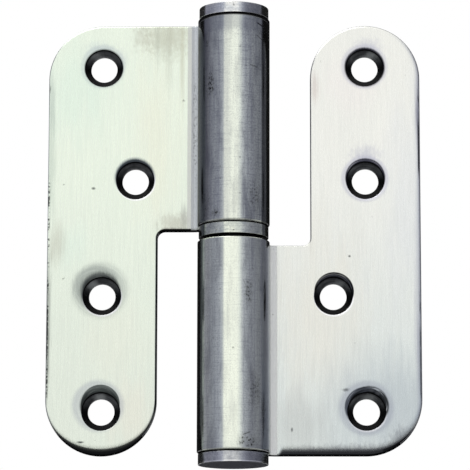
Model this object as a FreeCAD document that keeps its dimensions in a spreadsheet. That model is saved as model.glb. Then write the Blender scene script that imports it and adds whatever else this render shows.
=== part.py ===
import FreeCAD, Part
import math
import os
import Sketcher
from FreeCAD import Placement, Rotation, Vector

# Lift off door hinge: two leaves pressed from 3 mm steel sheet, each with its own rolled knuckle.
# The pin is fast in the frame leaf's knuckle and stands up into the door leaf's knuckle, so that
# the door can be lifted off. A ring between the knuckles carries the door.
# The frame: origin on the pin axis at half the hinge's height, +Z up along the pin,
# +X towards the frame leaf, and the countersunk faces look towards -Y.

os.makedirs("parts", exist_ok=True)
doc = FreeCAD.newDocument("LiftOffHinge")

# Driving sizes in millimetres and degrees
SIZES = [
    ("leaf_height", 110.0, "height of each leaf"),
    ("tab_width", 27.8, "width of the full height part of a leaf"),
    ("neck_width", 8.6, "flat of the leaf between the bend and the tab"),
    ("sheet_thickness", 3.0, "thickness of the steel sheet"),
    ("corner_radius", 14.0, "rounded outer corner beside the knuckle's half"),
    ("notch_radius", 2.5, "inner corner where the tab leaves the knuckle's half"),
    ("edge_break", 0.4, "broken edge round the leaf's front and the knuckle's ends"),
    ("pin_radius", 6.0, "running part of the pin"),
    ("pin_clearance", 0.05, "radial gap between the pin and the door leaf's knuckle"),
    ("crank", 1.25, "how far the leaf's back stands in from the back of the knuckle"),
    ("bend_radius", 2.0, "inside radius where the leaf turns into the knuckle"),
    ("curl_gap", 0.3, "slit where the rolled end comes back to the leaf"),
    ("ring_height", 3.05, "rim of the bearing ring"),
    ("ring_foot", 0.85, "turned down foot under the ring's rim"),
    ("foot_wall", 1.35, "wall of that foot round the pin"),
    ("cap_step", 0.3, "how far the ring and the plug heads stand in from the knuckle"),
    ("cap_height", 3.0, "height of a plug's head"),
    ("cap_break", 0.35, "bevel at the rims of the ring and the plug heads"),
    ("plug_depth", 6.0, "how deep a plug goes into its knuckle"),
    ("pin_room", 6.0, "room between the pin's top and the upper plug"),
    ("pin_lead", 2.5, "length of the taper at the pin's top"),
    ("pin_lead_step", 1.0, "how much that taper takes off the radius"),
    ("hole_radius", 3.35, "screw hole"),
    ("sink_radius", 4.9, "mouth of the countersink"),
    ("sink_angle", 90.0, "full angle of the countersink"),
    ("hole_inset", 8.2, "how far the odd hole stands nearer to the pin"),
    ("hole_margin", 11.0, "end of the leaf to the nearest hole"),
    ("hole_pitch", 29.2, "outer hole to the next one along the leaf"),
    ("waste", 5.0, "waste sheet round the blank"),
]

# Sizes that follow from the driving ones
DERIVED = [
    ("bore_radius", "pin_radius + pin_clearance", "hole through a knuckle"),
    ("knuckle_radius", "bore_radius + sheet_thickness", "outside of a knuckle"),
    ("leaf_front", "knuckle_radius - crank - sheet_thickness", "pin axis to a leaf's front face"),
    ("bend_y", "leaf_front - bend_radius", "pin axis to the centre of the bend, backwards"),
    ("bend_x", "sqrt((knuckle_radius + bend_radius) ^ 2 - bend_y ^ 2)", "the same, sideways"),
    ("tab_inner", "bend_x + neck_width", "pin axis to the inner side of the tab"),
    ("leaf_reach", "tab_inner + tab_width", "pin axis to a leaf's outer edge"),
    ("half_gap", "(ring_height + ring_foot) / 2", "middle to the near end of a knuckle"),
    ("half_height", "leaf_height / 2", "middle to the far end of a knuckle"),
    ("hole_line", "leaf_reach - tab_width / 2", "pin axis to the line of the screw holes"),
    ("odd_hole_line", "hole_line - hole_inset", "pin axis to the hole nearer to it"),
    ("hole_outer_z", "half_height - hole_margin", "height of the outer holes from the middle"),
    ("hole_inner_z", "hole_outer_z - hole_pitch", "height of the inner holes from the middle"),
    ("round_end_z", "half_height - tab_width / 2", "middle to the centre of the tab's round end"),
    ("outline_side", "knuckle_radius + waste", "the outline's side beyond the knuckle"),
    ("waste_side", "outline_side + waste", "the waste's side beyond the knuckle"),
    ("waste_end", "leaf_reach + waste", "the waste's side beyond the leaf"),
    ("waste_top", "half_height + waste", "top of the waste"),
    ("seat_top", "-half_gap", "top of the frame leaf's knuckle"),
    ("ring_rim_low", "seat_top + ring_foot", "underside of the ring's rim"),
    ("pin_bottom", "-half_height + plug_depth", "where the pin stands on the lower plug"),
    ("plug_end", "half_height - plug_depth", "inner end of a plug"),
    ("pin_top", "plug_end - pin_room", "top of the pin"),
    ("pin_lead_start", "pin_top - pin_lead", "where the taper begins"),
    ("pin_tip_radius", "pin_radius - pin_lead_step", "radius at the top of the taper"),
    ("cap_radius", "knuckle_radius - cap_step", "radius of the ring and of both plug heads"),
    ("foot_radius", "bore_radius + foot_wall", "radius of the ring's foot"),
    ("cap_top", "half_height + cap_height", "outer face of a plug's head"),
]

sizes = doc.addObject("Spreadsheet::Sheet", "Sizes")
for row, (name, value, meaning) in enumerate(SIZES, start=1):
    sizes.set("A%d" % row, meaning)
    sizes.set("B%d" % row, str(value))
    sizes.setAlias("B%d" % row, name)
for row, (name, formula, meaning) in enumerate(DERIVED, start=len(SIZES) + 2):
    sizes.set("A%d" % row, meaning)
    sizes.set("B%d" % row, "=" + formula)
    sizes.setAlias("B%d" % row, name)
doc.recompute()


def size(name):
    """A size from the sheet, as a plain number."""
    return float(sizes.get(name))


def new_body(label):
    """An empty body that will be written under its label."""
    body = doc.addObject("PartDesign::Body", label)
    body.Label = label
    return body


def new_sketch(body, name, role):
    """A sketch on one of the body's own origin planes."""
    sketch = body.newObject("Sketcher::SketchObject", name)
    plane = [item for item in body.Origin.OriginFeatures if item.Role == role][0]
    sketch.AttachmentSupport = [(plane, "")]
    sketch.MapMode = "FlatFace"
    return sketch


def dimension(sketch, kind, places, formula, value):
    """A driving dimension, tied to the sheet by its formula."""
    index = sketch.addConstraint(Sketcher.Constraint(kind, *places, value))
    sketch.setExpression("Constraints[%d]" % index, formula)


def arc(centre, radius, start_degrees, end_degrees):
    """An arc drawn anticlockwise from one angle to the other."""
    circle = Part.Circle(Vector(centre[0], centre[1], 0), Vector(0, 0, 1), radius)
    return Part.ArcOfCircle(circle, math.radians(start_degrees), math.radians(end_degrees))


def line(start, end):
    """A straight edge between two points of a sketch."""
    return Part.LineSegment(Vector(start[0], start[1], 0), Vector(end[0], end[1], 0))


# Places on a sketch element, as the sketcher numbers them
START, END, CENTRE = range(1, 4)
HORIZONTAL_AXIS, VERTICAL_AXIS = range(-1, -3, -1)
ORIGIN = (HORIZONTAL_AXIS, START)

# Faces and edges nearer than this to a place are on it
TOUCH = 1e-4


def knuckle_section(body):
    """Cross-section of leaf and knuckle, as one strip of sheet of even thickness.

    From the outer edge the strip runs in to the bend, turns forward round the near side of
    the pin, over the front, round the far side and the back, and ends just short of the bend.
    """
    bore = size("bore_radius")
    outer = size("knuckle_radius")
    front = size("leaf_front")
    bend = size("bend_radius")
    back = front + size("sheet_thickness")
    reach = size("leaf_reach")
    bend_x = size("bend_x")
    bend_y = size("bend_y")
    near = math.degrees(math.atan2(bend_y, bend_x))
    # the rolled end stops one slit away from the back of the bend
    far = bend + size("sheet_thickness") + size("curl_gap")
    span = outer + bend
    closing = near + math.degrees(math.acos((outer ** 2 + span ** 2 - far ** 2) / (2 * outer * span)))
    end_in = (bore * math.cos(math.radians(closing)), bore * math.sin(math.radians(closing)))
    end_out = (outer * math.cos(math.radians(closing)), outer * math.sin(math.radians(closing)))

    sketch = new_sketch(body, "Section", "XY_Plane")
    edge = sketch.addGeometry(line((reach, front), (reach, back)))
    rear = sketch.addGeometry(line((reach, back), (bend_x, back)))
    bend_back = sketch.addGeometry(arc((bend_x, bend_y), bend + size("sheet_thickness"), 90, 180 + near))
    inside = sketch.addGeometry(arc((0, 0), bore, closing - 360, near))
    rolled_end = sketch.addGeometry(line(end_in, end_out))
    outside = sketch.addGeometry(arc((0, 0), outer, closing - 360, near))
    bend_front = sketch.addGeometry(arc((bend_x, bend_y), bend, 90, 180 + near))
    face = sketch.addGeometry(line((bend_x, front), (reach, front)))

    def fix(kind, *places):
        sketch.addConstraint(Sketcher.Constraint(kind, *places))

    fix("Coincident", edge, END, rear, START)
    fix("Tangent", rear, END, bend_back, START)
    fix("Tangent", bend_back, END, inside, END)
    fix("Coincident", inside, START, rolled_end, START)
    fix("Coincident", rolled_end, END, outside, START)
    fix("Tangent", outside, END, bend_front, END)
    fix("Tangent", bend_front, START, face, START)
    fix("Coincident", face, END, edge, START)
    fix("Vertical", edge)
    fix("Horizontal", rear)
    fix("Horizontal", face)
    fix("Coincident", inside, CENTRE, *ORIGIN)
    fix("Coincident", outside, CENTRE, *ORIGIN)
    fix("Coincident", bend_back, CENTRE, bend_front, CENTRE)
    fix("PointOnObject", *ORIGIN, rolled_end)
    dimension(sketch, "Radius", (inside,), "Sizes.bore_radius", bore)
    dimension(sketch, "Radius", (outside,), "Sizes.knuckle_radius", outer)
    dimension(sketch, "Radius", (bend_front,), "Sizes.bend_radius", bend)
    dimension(sketch, "DistanceX", (*ORIGIN, edge, START), "Sizes.leaf_reach", reach)
    dimension(sketch, "DistanceY", (*ORIGIN, edge, START), "Sizes.leaf_front", front)
    dimension(sketch, "Distance", (bend_back, CENTRE, rolled_end, END),
              "Sizes.bend_radius + Sizes.sheet_thickness + Sizes.curl_gap", far)
    return sketch


def leaf_outline(body):
    """Outline of the flat leaf and its half of the barrel, inside a frame of waste sheet."""
    near = size("half_gap")
    half = size("half_height")
    reach = size("leaf_reach")
    tab = size("tab_width")
    corner = size("corner_radius")
    notch = size("notch_radius")
    far_side = size("outline_side")
    waste_side = size("waste_side")
    waste_top = size("waste_top")
    waste_end = size("waste_end")
    inner = size("tab_inner")
    top = half - tab / 2
    low = corner - half

    sketch = new_sketch(body, "Outline", "XZ_Plane")
    shoulder = sketch.addGeometry(line((-far_side, -near), (inner - notch, -near)))
    inner_corner = sketch.addGeometry(arc((inner - notch, notch - near), notch, -90, 0))
    inner_side = sketch.addGeometry(line((inner, notch - near), (inner, top)))
    round_end = sketch.addGeometry(arc((reach - tab / 2, top), tab / 2, 0, 180))
    outer_side = sketch.addGeometry(line((reach, top), (reach, low)))
    outer_corner = sketch.addGeometry(arc((reach - corner, low), corner, -90, 0))
    foot = sketch.addGeometry(line((reach - corner, -half), (-far_side, -half)))
    side = sketch.addGeometry(line((-far_side, -half), (-far_side, -near)))

    def fix(kind, *places):
        sketch.addConstraint(Sketcher.Constraint(kind, *places))

    fix("Tangent", shoulder, END, inner_corner, START)
    fix("Tangent", inner_corner, END, inner_side, START)
    fix("Tangent", inner_side, END, round_end, END)
    fix("Tangent", round_end, START, outer_side, START)
    fix("Tangent", outer_side, END, outer_corner, END)
    fix("Tangent", outer_corner, START, foot, START)
    fix("Coincident", foot, END, side, START)
    fix("Coincident", side, END, shoulder, START)
    for level in (shoulder, foot):
        fix("Horizontal", level)
    for upright in (inner_side, outer_side, side):
        fix("Vertical", upright)
    dimension(sketch, "Radius", (inner_corner,), "Sizes.notch_radius", notch)
    dimension(sketch, "Radius", (outer_corner,), "Sizes.corner_radius", corner)
    dimension(sketch, "DistanceX", (*ORIGIN, outer_side, START), "Sizes.leaf_reach", reach)
    dimension(sketch, "DistanceX", (*ORIGIN, inner_side, START), "Sizes.tab_inner", inner)
    dimension(sketch, "DistanceY", (shoulder, START, *ORIGIN), "Sizes.half_gap", near)
    dimension(sketch, "DistanceY", (foot, START, *ORIGIN), "Sizes.half_height", half)
    dimension(sketch, "DistanceX", (side, START, *ORIGIN), "Sizes.outline_side", far_side)
    dimension(sketch, "DistanceY", (*ORIGIN, round_end, CENTRE), "Sizes.round_end_z", top)

    # the waste around it, cut away with the notch
    corners = [
        (-waste_side, -waste_top),
        (waste_end, -waste_top),
        (waste_end, waste_top),
        (-waste_side, waste_top),
    ]
    frame = [sketch.addGeometry(line(corners[i], corners[(i + 1) % 4])) for i in range(4)]
    for i in range(4):
        fix("Coincident", frame[i], END, frame[(i + 1) % 4], START)
    fix("Horizontal", frame[0])
    fix("Vertical", frame[1])
    fix("Horizontal", frame[2])
    fix("Vertical", frame[3])
    dimension(sketch, "DistanceX", (frame[0], START, *ORIGIN), "Sizes.waste_side", waste_side)
    dimension(sketch, "DistanceX", (*ORIGIN, frame[1], START), "Sizes.waste_end", waste_end)
    dimension(sketch, "DistanceY", (frame[0], START, *ORIGIN), "Sizes.waste_top", waste_top)
    dimension(sketch, "DistanceY", (*ORIGIN, frame[2], START), "Sizes.waste_top", waste_top)
    return sketch


def screw_holes(body):
    """Four countersunk screw holes; the one beside the knuckle's half stands nearer to the pin."""
    hole_line = size("hole_line")
    odd_line = size("odd_hole_line")
    outer = size("hole_outer_z")
    inner = size("hole_inner_z")
    places = [
        (hole_line, outer, "Sizes.hole_line", "Sizes.hole_outer_z"),
        (hole_line, inner, "Sizes.hole_line", "Sizes.hole_inner_z"),
        (odd_line, -inner, "Sizes.odd_hole_line", "Sizes.hole_inner_z"),
        (hole_line, -outer, "Sizes.hole_line", "Sizes.hole_outer_z"),
    ]
    sketch = new_sketch(body, "ScrewHoles", "XZ_Plane")
    sketch.setExpression("AttachmentOffset.Base.z", "-Sizes.leaf_front")
    for x, z, x_size, z_size in places:
        hole = sketch.addGeometry(Part.Circle(Vector(x, z, 0), Vector(0, 0, 1), size("hole_radius")))
        dimension(sketch, "Radius", (hole,), "Sizes.hole_radius", size("hole_radius"))
        dimension(sketch, "DistanceX", (*ORIGIN, hole, CENTRE), x_size, x)
        if z > 0:
            dimension(sketch, "DistanceY", (*ORIGIN, hole, CENTRE), z_size, z)
        else:
            dimension(sketch, "DistanceY", (hole, CENTRE, *ORIGIN), z_size, -z)
    doc.recompute()

    before = body.Tip.Shape.Volume
    holes = body.newObject("PartDesign::Hole", "Countersinks")
    holes.Profile = sketch
    holes.Threaded = False
    holes.DepthType = "ThroughAll"
    holes.HoleCutType = "Countersink"
    holes.HoleCutCustomValues = True
    holes.setExpression("Diameter", "2 * Sizes.hole_radius")
    holes.setExpression("HoleCutDiameter", "2 * Sizes.sink_radius")
    holes.setExpression("HoleCutCountersinkAngle", "Sizes.sink_angle")
    doc.recompute()
    drilled = len(places) * math.pi * size("hole_radius") ** 2 * size("sheet_thickness")
    if holes.Shape.Volume > before - drilled:
        raise RuntimeError("the screw holes of %s don't go through" % body.Label)


def front_edges(shape):
    """Names of the sharp edges round the leaf's front face; the knuckle's ends follow on from them."""
    front = size("leaf_front")
    faces = [face for face in shape.Faces
             if abs(face.BoundBox.YMin - front) < TOUCH and abs(face.BoundBox.YMax - front) < TOUCH]
    face = max(faces, key=lambda item: item.Area)
    bend_line = face.BoundBox.XMin
    chosen = [edge for edge in face.OuterWire.Edges if edge.BoundBox.XMax > bend_line + TOUCH]
    return ["Edge%d" % (i + 1) for i, edge in enumerate(shape.Edges)
            if any(edge.isSame(other) for other in chosen)]


def make_leaf(label, placement):
    """One leaf with its rolled knuckle, drawn as the frame leaf and then placed."""
    body = new_body(label)
    strip = body.newObject("PartDesign::Pad", "RolledStrip")
    strip.Profile = knuckle_section(body)
    strip.SideType = "Symmetric"
    strip.setExpression("Length", "Sizes.leaf_height")
    doc.recompute()

    trim = body.newObject("PartDesign::Pocket", "Trim")
    trim.Profile = leaf_outline(body)
    trim.SideType = "Symmetric"
    trim.Type = "ThroughAll"
    doc.recompute()
    notch = size("neck_width") * size("half_height") * size("sheet_thickness")
    if trim.Shape.Volume > strip.Shape.Volume - notch:
        raise RuntimeError("the outline of %s cuts nothing" % label)

    broken = body.newObject("PartDesign::Chamfer", "BrokenEdges")
    broken.Base = (trim, front_edges(trim.Shape))
    broken.setExpression("Size", "Sizes.edge_break")
    doc.recompute()

    screw_holes(body)
    body.Placement = placement
    return body


def turned(label, points, placement=Placement()):
    """A turned piece: its half section, as pairs of sizes from the sheet, spun round the pin axis."""
    body = new_body(label)
    sketch = new_sketch(body, "HalfSection", "XZ_Plane")
    places = [(size(radius) if radius else 0.0, size(height)) for radius, height in points]
    count = len(places)
    sides = [sketch.addGeometry(line(places[i], places[(i + 1) % count])) for i in range(count)]
    for i, (radius, height) in enumerate(points):
        sketch.addConstraint(Sketcher.Constraint("Coincident", sides[i - 1], END, sides[i], START))
        if radius:
            dimension(sketch, "DistanceX", (*ORIGIN, sides[i], START), "Sizes." + radius, places[i][0])
        else:
            sketch.addConstraint(Sketcher.Constraint("PointOnObject", sides[i], START, VERTICAL_AXIS))
        dimension(sketch, "DistanceY", (*ORIGIN, sides[i], START), "Sizes." + height, places[i][1])
    spin = body.newObject("PartDesign::Revolution", "Turning")
    spin.Profile = sketch
    spin.ReferenceAxis = (sketch, ["V_Axis"])
    doc.recompute()
    body.Placement = placement
    return body


def bevel_rims(body, radius_name, heights):
    """Bevel the round edges of one radius at the given heights."""
    turning = body.Tip
    rims = []
    for i, edge in enumerate(turning.Shape.Edges):
        round_edge = isinstance(edge.Curve, Part.Circle)
        if round_edge and abs(edge.Curve.Radius - size(radius_name)) < TOUCH:
            if any(abs(edge.Curve.Center.z - size(height)) < TOUCH for height in heights):
                rims.append("Edge%d" % (i + 1))
    bevel = body.newObject("PartDesign::Chamfer", "Bevel")
    bevel.Base = (turning, rims)
    bevel.setExpression("Size", "Sizes.cap_break")
    doc.recompute()


# Leaves: one blank serves both, the door leaf being the frame leaf turned half round
half_turn = Placement(Vector(0, 0, 0), Rotation(Vector(0, 1, 0), 180))
frame_leaf = make_leaf("frame_leaf", Placement())
door_leaf = make_leaf("door_leaf", half_turn)

# Pin: pressed in below, a running fit above, with a taper on top to find the door leaf
hinge_pin = turned("hinge_pin", [
    (None, "pin_bottom"),
    ("bore_radius", "pin_bottom"),
    ("bore_radius", "seat_top"),
    ("pin_radius", "seat_top"),
    ("pin_radius", "pin_lead_start"),
    ("pin_tip_radius", "pin_top"),
    (None, "pin_top"),
])

# Bearing ring: its turned down foot stands on the frame leaf's knuckle, its rim carries the door leaf's
bearing_ring = turned("bearing_ring", [
    ("bore_radius", "seat_top"),
    ("foot_radius", "seat_top"),
    ("foot_radius", "ring_rim_low"),
    ("cap_radius", "ring_rim_low"),
    ("cap_radius", "half_gap"),
    ("bore_radius", "half_gap"),
])
bevel_rims(bearing_ring, "cap_radius", ["ring_rim_low", "half_gap"])

# Plugs: a head as wide as the ring and a spigot pressed into the open end of a knuckle
PLUG = [
    (None, "plug_end"),
    ("bore_radius", "plug_end"),
    ("bore_radius", "half_height"),
    ("cap_radius", "half_height"),
    ("cap_radius", "cap_top"),
    (None, "cap_top"),
]
upper_plug = turned("upper_plug", PLUG)
bevel_rims(upper_plug, "cap_radius", ["half_height", "cap_top"])
lower_plug = turned("lower_plug", PLUG, half_turn)
bevel_rims(lower_plug, "cap_radius", ["half_height", "cap_top"])

doc.recompute()

# Nothing is written until every object has built and every piece is one sound solid
for item in doc.Objects:
    if "Invalid" in item.State or "Error" in item.State:
        raise RuntimeError("%s failed: %s" % (item.Name, item.State))

PIECES = [frame_leaf, door_leaf, hinge_pin, bearing_ring, upper_plug, lower_plug]
for piece in PIECES:
    shape = piece.Shape
    if shape.isNull() or not shape.isValid() or len(shape.Solids) != 1:
        raise RuntimeError("%s is not one sound solid" % piece.Label)
    for feature in piece.Group:
        if feature.isDerivedFrom("Sketcher::SketchObject") and feature.solve() != 0:
            raise RuntimeError("%s of %s is not solved" % (feature.Name, piece.Label))

for piece in PIECES:
    piece.Shape.exportStep("parts/%s.step" % piece.Label)
    print("%-13s %9.1f mm3" % (piece.Label, piece.Shape.Volume))
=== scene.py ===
import bmesh
import bpy
import math
from mathutils import Matrix, Vector
from mathutils.geometry import tessellate_polygon


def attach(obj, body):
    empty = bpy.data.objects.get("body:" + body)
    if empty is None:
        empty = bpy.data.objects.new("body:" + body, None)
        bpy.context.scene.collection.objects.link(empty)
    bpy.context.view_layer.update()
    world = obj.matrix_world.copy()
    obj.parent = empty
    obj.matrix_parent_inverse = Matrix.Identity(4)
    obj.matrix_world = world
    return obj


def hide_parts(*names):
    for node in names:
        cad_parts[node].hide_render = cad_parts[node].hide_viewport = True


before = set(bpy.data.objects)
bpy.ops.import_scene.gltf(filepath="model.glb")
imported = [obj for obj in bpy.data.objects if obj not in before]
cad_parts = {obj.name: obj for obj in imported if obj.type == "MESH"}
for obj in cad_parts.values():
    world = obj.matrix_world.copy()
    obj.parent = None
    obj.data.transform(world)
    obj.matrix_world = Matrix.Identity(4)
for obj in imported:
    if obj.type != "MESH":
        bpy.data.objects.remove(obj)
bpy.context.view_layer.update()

# FRAME LEAF
# The leaf screwed to the frame: one blank of 3 mm steel sheet, sheared, its lower half rolled into
# the knuckle that holds the pin. The face is ground along the leaf and pale, the knuckle darker.

MM = 0.001
BORE = 6.05
SHEET = 3.0
KNUCKLE = BORE + SHEET
LEAF_FRONT = 4.8
BEND = 2.0
BEND_Y = LEAF_FRONT - BEND
BEND_X = math.sqrt((KNUCKLE + BEND) ** 2 - BEND_Y ** 2)
NECK = 8.6
TAB = 27.8
TAB_INNER = BEND_X + NECK
REACH = TAB_INNER + TAB
HALF_GAP = 1.95
HALF_HEIGHT = 55.0
CORNER = 14.0
NOTCH = 1.9
TAB_END = TAB / 2
HOLE_LINE = REACH - TAB_END
CURL_START = math.atan2(BEND_Y, BEND_X)
CURL_END = 0.752 - 2 * math.pi
BEND_LENGTH = (math.pi / 2 + CURL_START) * BEND
CURL_LENGTH = (CURL_START - CURL_END) * KNUCKLE
ROLLED_END = BEND_X - BEND_LENGTH - CURL_LENGTH
SINK_RADIUS = 4.9
SINK_EDGE = 0.15
SINK_MOUTH = SINK_RADIUS + SINK_EDGE / math.tan(math.radians(67.5)) + 0.12
BACK_MOUTH = 3.56
RIM = 0.2


def on_sheet(along, depth, height):
    """Place in the bent leaf of a point of the flat blank, depth counted from its front face."""
    if along >= BEND_X:
        spot = (along, LEAF_FRONT + depth)
    elif along >= BEND_X - BEND_LENGTH:
        turn = math.pi / 2 + (BEND_X - along) / BEND
        reach = BEND + depth
        spot = (BEND_X + reach * math.cos(turn), BEND_Y + reach * math.sin(turn))
    else:
        turn = CURL_START - (BEND_X - BEND_LENGTH - along) / KNUCKLE
        reach = KNUCKLE - depth
        spot = (reach * math.cos(turn), reach * math.sin(turn))
    return Vector((spot[0], spot[1], height)) * MM


def ease(share):
    """A share from 0 to 1 with soft ends."""
    share = max(0.0, min(1.0, share))
    return share * share * (3 - 2 * share)


def between(first, second, share):
    """Pair of sizes part of the way from the first to the second."""
    share = ease(share)
    return tuple(a + (b - a) * share for a, b in zip(first, second))


def blank_outline(rolls):
    """Stations round the blank: place, inward direction, width and depth of the rolled front edge."""
    curl = [ROLLED_END + CURL_LENGTH * i / 120 for i in range(2, 120)]
    bend = [BEND_X - BEND_LENGTH * (1 - i / 16) for i in range(16)]
    round_part = curl + bend + [BEND_X, BEND_X + 0.15]
    flat_part = [BEND_X + step for step in (0.35, 0.6, 0.85, 1.1, 1.4, 1.8, 2.4, 3.2, 4.5, 7, 10, 13, 16, 19.5)]
    stations = [((ROLLED_END, -HALF_HEIGHT), (1, 1), rolls["knuckle"])]
    for along in round_part:
        stations.append(((along, -HALF_HEIGHT), (0, 1), rolls["knuckle"]))
    for along in flat_part:
        share = (along - BEND_X - 0.3) / 1.3
        stations.append(((along, -HALF_HEIGHT), (0, 1), between(rolls["knuckle"], rolls["foot"], share)))
    for i in range(25):
        turn = math.radians(-90 + 90 * i / 24)
        out = (math.cos(turn), math.sin(turn))
        spot = (REACH - CORNER + CORNER * out[0], -HALF_HEIGHT + CORNER + CORNER * out[1])
        stations.append((spot, (-out[0], -out[1]), between(rolls["foot"], rolls["side"], i / 24)))
    low = CORNER - HALF_HEIGHT
    straight = HALF_HEIGHT - TAB_END
    for i in range(1, 24):
        stations.append(((REACH, low + (straight - low) * i / 24), (-1, 0), rolls["side"]))
    for i in range(49):
        turn = math.radians(180 * i / 48)
        out = (math.cos(turn), math.sin(turn))
        spot = (HOLE_LINE + TAB_END * out[0], straight + TAB_END * out[1])
        if i < 24:
            roll = between(rolls["side"], rolls["end"], i / 24)
        else:
            roll = between(rolls["end"], rolls["inner"], (i - 24) / 24)
        stations.append((spot, (-out[0], -out[1]), roll))
    low = NOTCH - HALF_GAP
    for i in range(1, 10):
        stations.append(((TAB_INNER, straight + (low - straight) * i / 10), (1, 0), rolls["inner"]))
    for i in range(13):
        turn = math.radians(-90 * i / 12)
        out = (math.cos(turn), math.sin(turn))
        spot = (TAB_INNER - NOTCH + NOTCH * out[0], low + NOTCH * out[1])
        stations.append((spot, out, between(rolls["inner"], rolls["shoulder"], i / 12)))
    for along in [BEND_X + step for step in (4.5, 3.0, 1.8, 0.9, 0.4)] + round_part[::-1]:
        stations.append(((along, -HALF_GAP), (0, -1), rolls["shoulder"]))
    stations.append(((ROLLED_END, -HALF_GAP), (1, -1), rolls["shoulder"]))
    return stations


def leaf_mesh(name, rolls, holes, turned_about):
    """The rolled leaf as one skin with round openings where the countersinks go."""
    stations = blank_outline(rolls)
    count = len(stations)
    back = (0.25, 0.25)
    body = bmesh.new()
    rows = []
    for step in range(-1, 7):
        turn = math.pi / 2 * (1 - max(step, 0) / 6)
        rows.append(("front", turn, RIM if step < 0 else 0.0))
    for step in range(3, -2, -1):
        turn = math.pi / 2 * (1 - max(step, 0) / 3)
        rows.append(("back", turn, RIM if step < 0 else 0.0))
    grid = []
    for side, turn, extra in rows:
        ring = []
        for (along, height), (in_x, in_z), roll in stations:
            width, depth = roll if side == "front" else back
            offset = width * (1 - math.cos(turn)) + extra
            deep = depth * (1 - math.sin(turn))
            if side == "back":
                deep = SHEET - deep
            ring.append(body.verts.new(on_sheet(along + in_x * offset, deep, height + in_z * offset)))
        grid.append(ring)
    for row in range(len(grid) - 1):
        wall = 2 if 5 <= row <= 9 else 0
        for i in range(count):
            j = (i + 1) % count
            face = body.faces.new((grid[row][i], grid[row][j], grid[row + 1][j], grid[row + 1][i]))
            rolled = max(stations[i][0][0], stations[j][0][0]) <= BEND_X + 0.2
            # Cut walls in the knuckle take slot 4, the near black finish: painted shade at the knuckle's ends
            face.material_index = (4 if wall else 1) if rolled else wall
    flat_start = next(i for i in range(count) if stations[i][0][0] > BEND_X + 0.1)
    flat_end = count - 1 - flat_start
    for ring, mouth, rim in ((grid[0], SINK_MOUTH, 0.0), (grid[-1], BACK_MOUTH, SHEET)):
        for i in range(flat_start):
            j = count - 1 - i
            face = body.faces.new((ring[i], ring[i + 1], ring[j - 1], ring[j]))
            face.material_index = 1
        loops = [ring[flat_start:flat_end + 1]]
        for hole_x, hole_z in holes:
            wide, tight = [], []
            for k in range(72):
                turn = 2 * math.pi * k / 72
                for reach, kept in ((mouth + RIM, wide), (mouth, tight)):
                    spot = (hole_x + reach * math.cos(turn), hole_z + reach * math.sin(turn))
                    kept.append(body.verts.new(on_sheet(spot[0], rim, spot[1])))
            for k in range(72):
                body.faces.new((wide[k], wide[(k + 1) % 72], tight[(k + 1) % 72], tight[k]))
            loops.append(wide)
        outline = [[Vector((v.co.x, v.co.z, 0)) / MM for v in loop] for loop in loops]
        corners = [v for loop in loops for v in loop]
        for triangle in tessellate_polygon(outline):
            body.faces.new([corners[k] for k in triangle])
    mesh = bpy.data.meshes.new(name)
    body.to_mesh(mesh)
    body.free()
    mesh.transform(turned_about)
    return mesh


def eased_profile(corners):
    """Half section of a turned form, (radius, height, rounding) at each corner, as a line of points."""
    points = []
    for i, (radius, height, rounding) in enumerate(corners):
        here = Vector((radius, height))
        if rounding <= 0 or i in (0, len(corners) - 1):
            points.append(here)
            continue
        before = (Vector(corners[i - 1][:2]) - here).normalized()
        after = (Vector(corners[i + 1][:2]) - here).normalized()
        half = before.angle(after) / 2
        setback = rounding / math.tan(half)
        centre = here + (before + after).normalized() * (rounding / math.sin(half))
        first = here + before * setback - centre
        sweep = first.angle_signed(here + after * setback - centre)
        points.append(here + before * (setback + 0.12))
        for k in range(7):
            turn = -sweep * k / 6
            cos, sin = math.cos(turn), math.sin(turn)
            points.append(centre + Vector((first.x * cos - first.y * sin, first.x * sin + first.y * cos)))
        points.append(here + after * (setback + 0.12))
    mesh = bpy.data.meshes.new("half_section")
    mesh.from_pydata([(p.x * MM, 0, p.y * MM) for p in points], [(k, k + 1) for k in range(len(points) - 1)], [])
    return mesh


def new_group(kind, name, inputs, outputs):
    """Empty node group with its named sockets."""
    group = bpy.data.node_groups.new(name, kind)
    for label, socket in inputs:
        group.interface.new_socket(name=label, in_out="INPUT", socket_type=socket)
    for label, socket in outputs:
        group.interface.new_socket(name=label, in_out="OUTPUT", socket_type=socket)
    entry = group.nodes.new("NodeGroupInput").outputs
    leave = group.nodes.new("NodeGroupOutput").inputs
    return group, entry, leave


def put(tree, kind, feeds=None, **settings):
    """A node with its settings, and each named or numbered input set or linked."""
    made = tree.nodes.new(kind)
    for name, value in settings.items():
        setattr(made, name, value)
    for socket, value in (feeds or {}).items():
        if isinstance(value, bpy.types.NodeSocket):
            tree.links.new(value, made.inputs[socket])
        else:
            made.inputs[socket].default_value = value
    return made


def sums(tree, operation, *values):
    """Result of one sum of numbers."""
    feeds = {i: value for i, value in enumerate(values)}
    return put(tree, "ShaderNodeMath", feeds, operation=operation).outputs[0]


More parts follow.
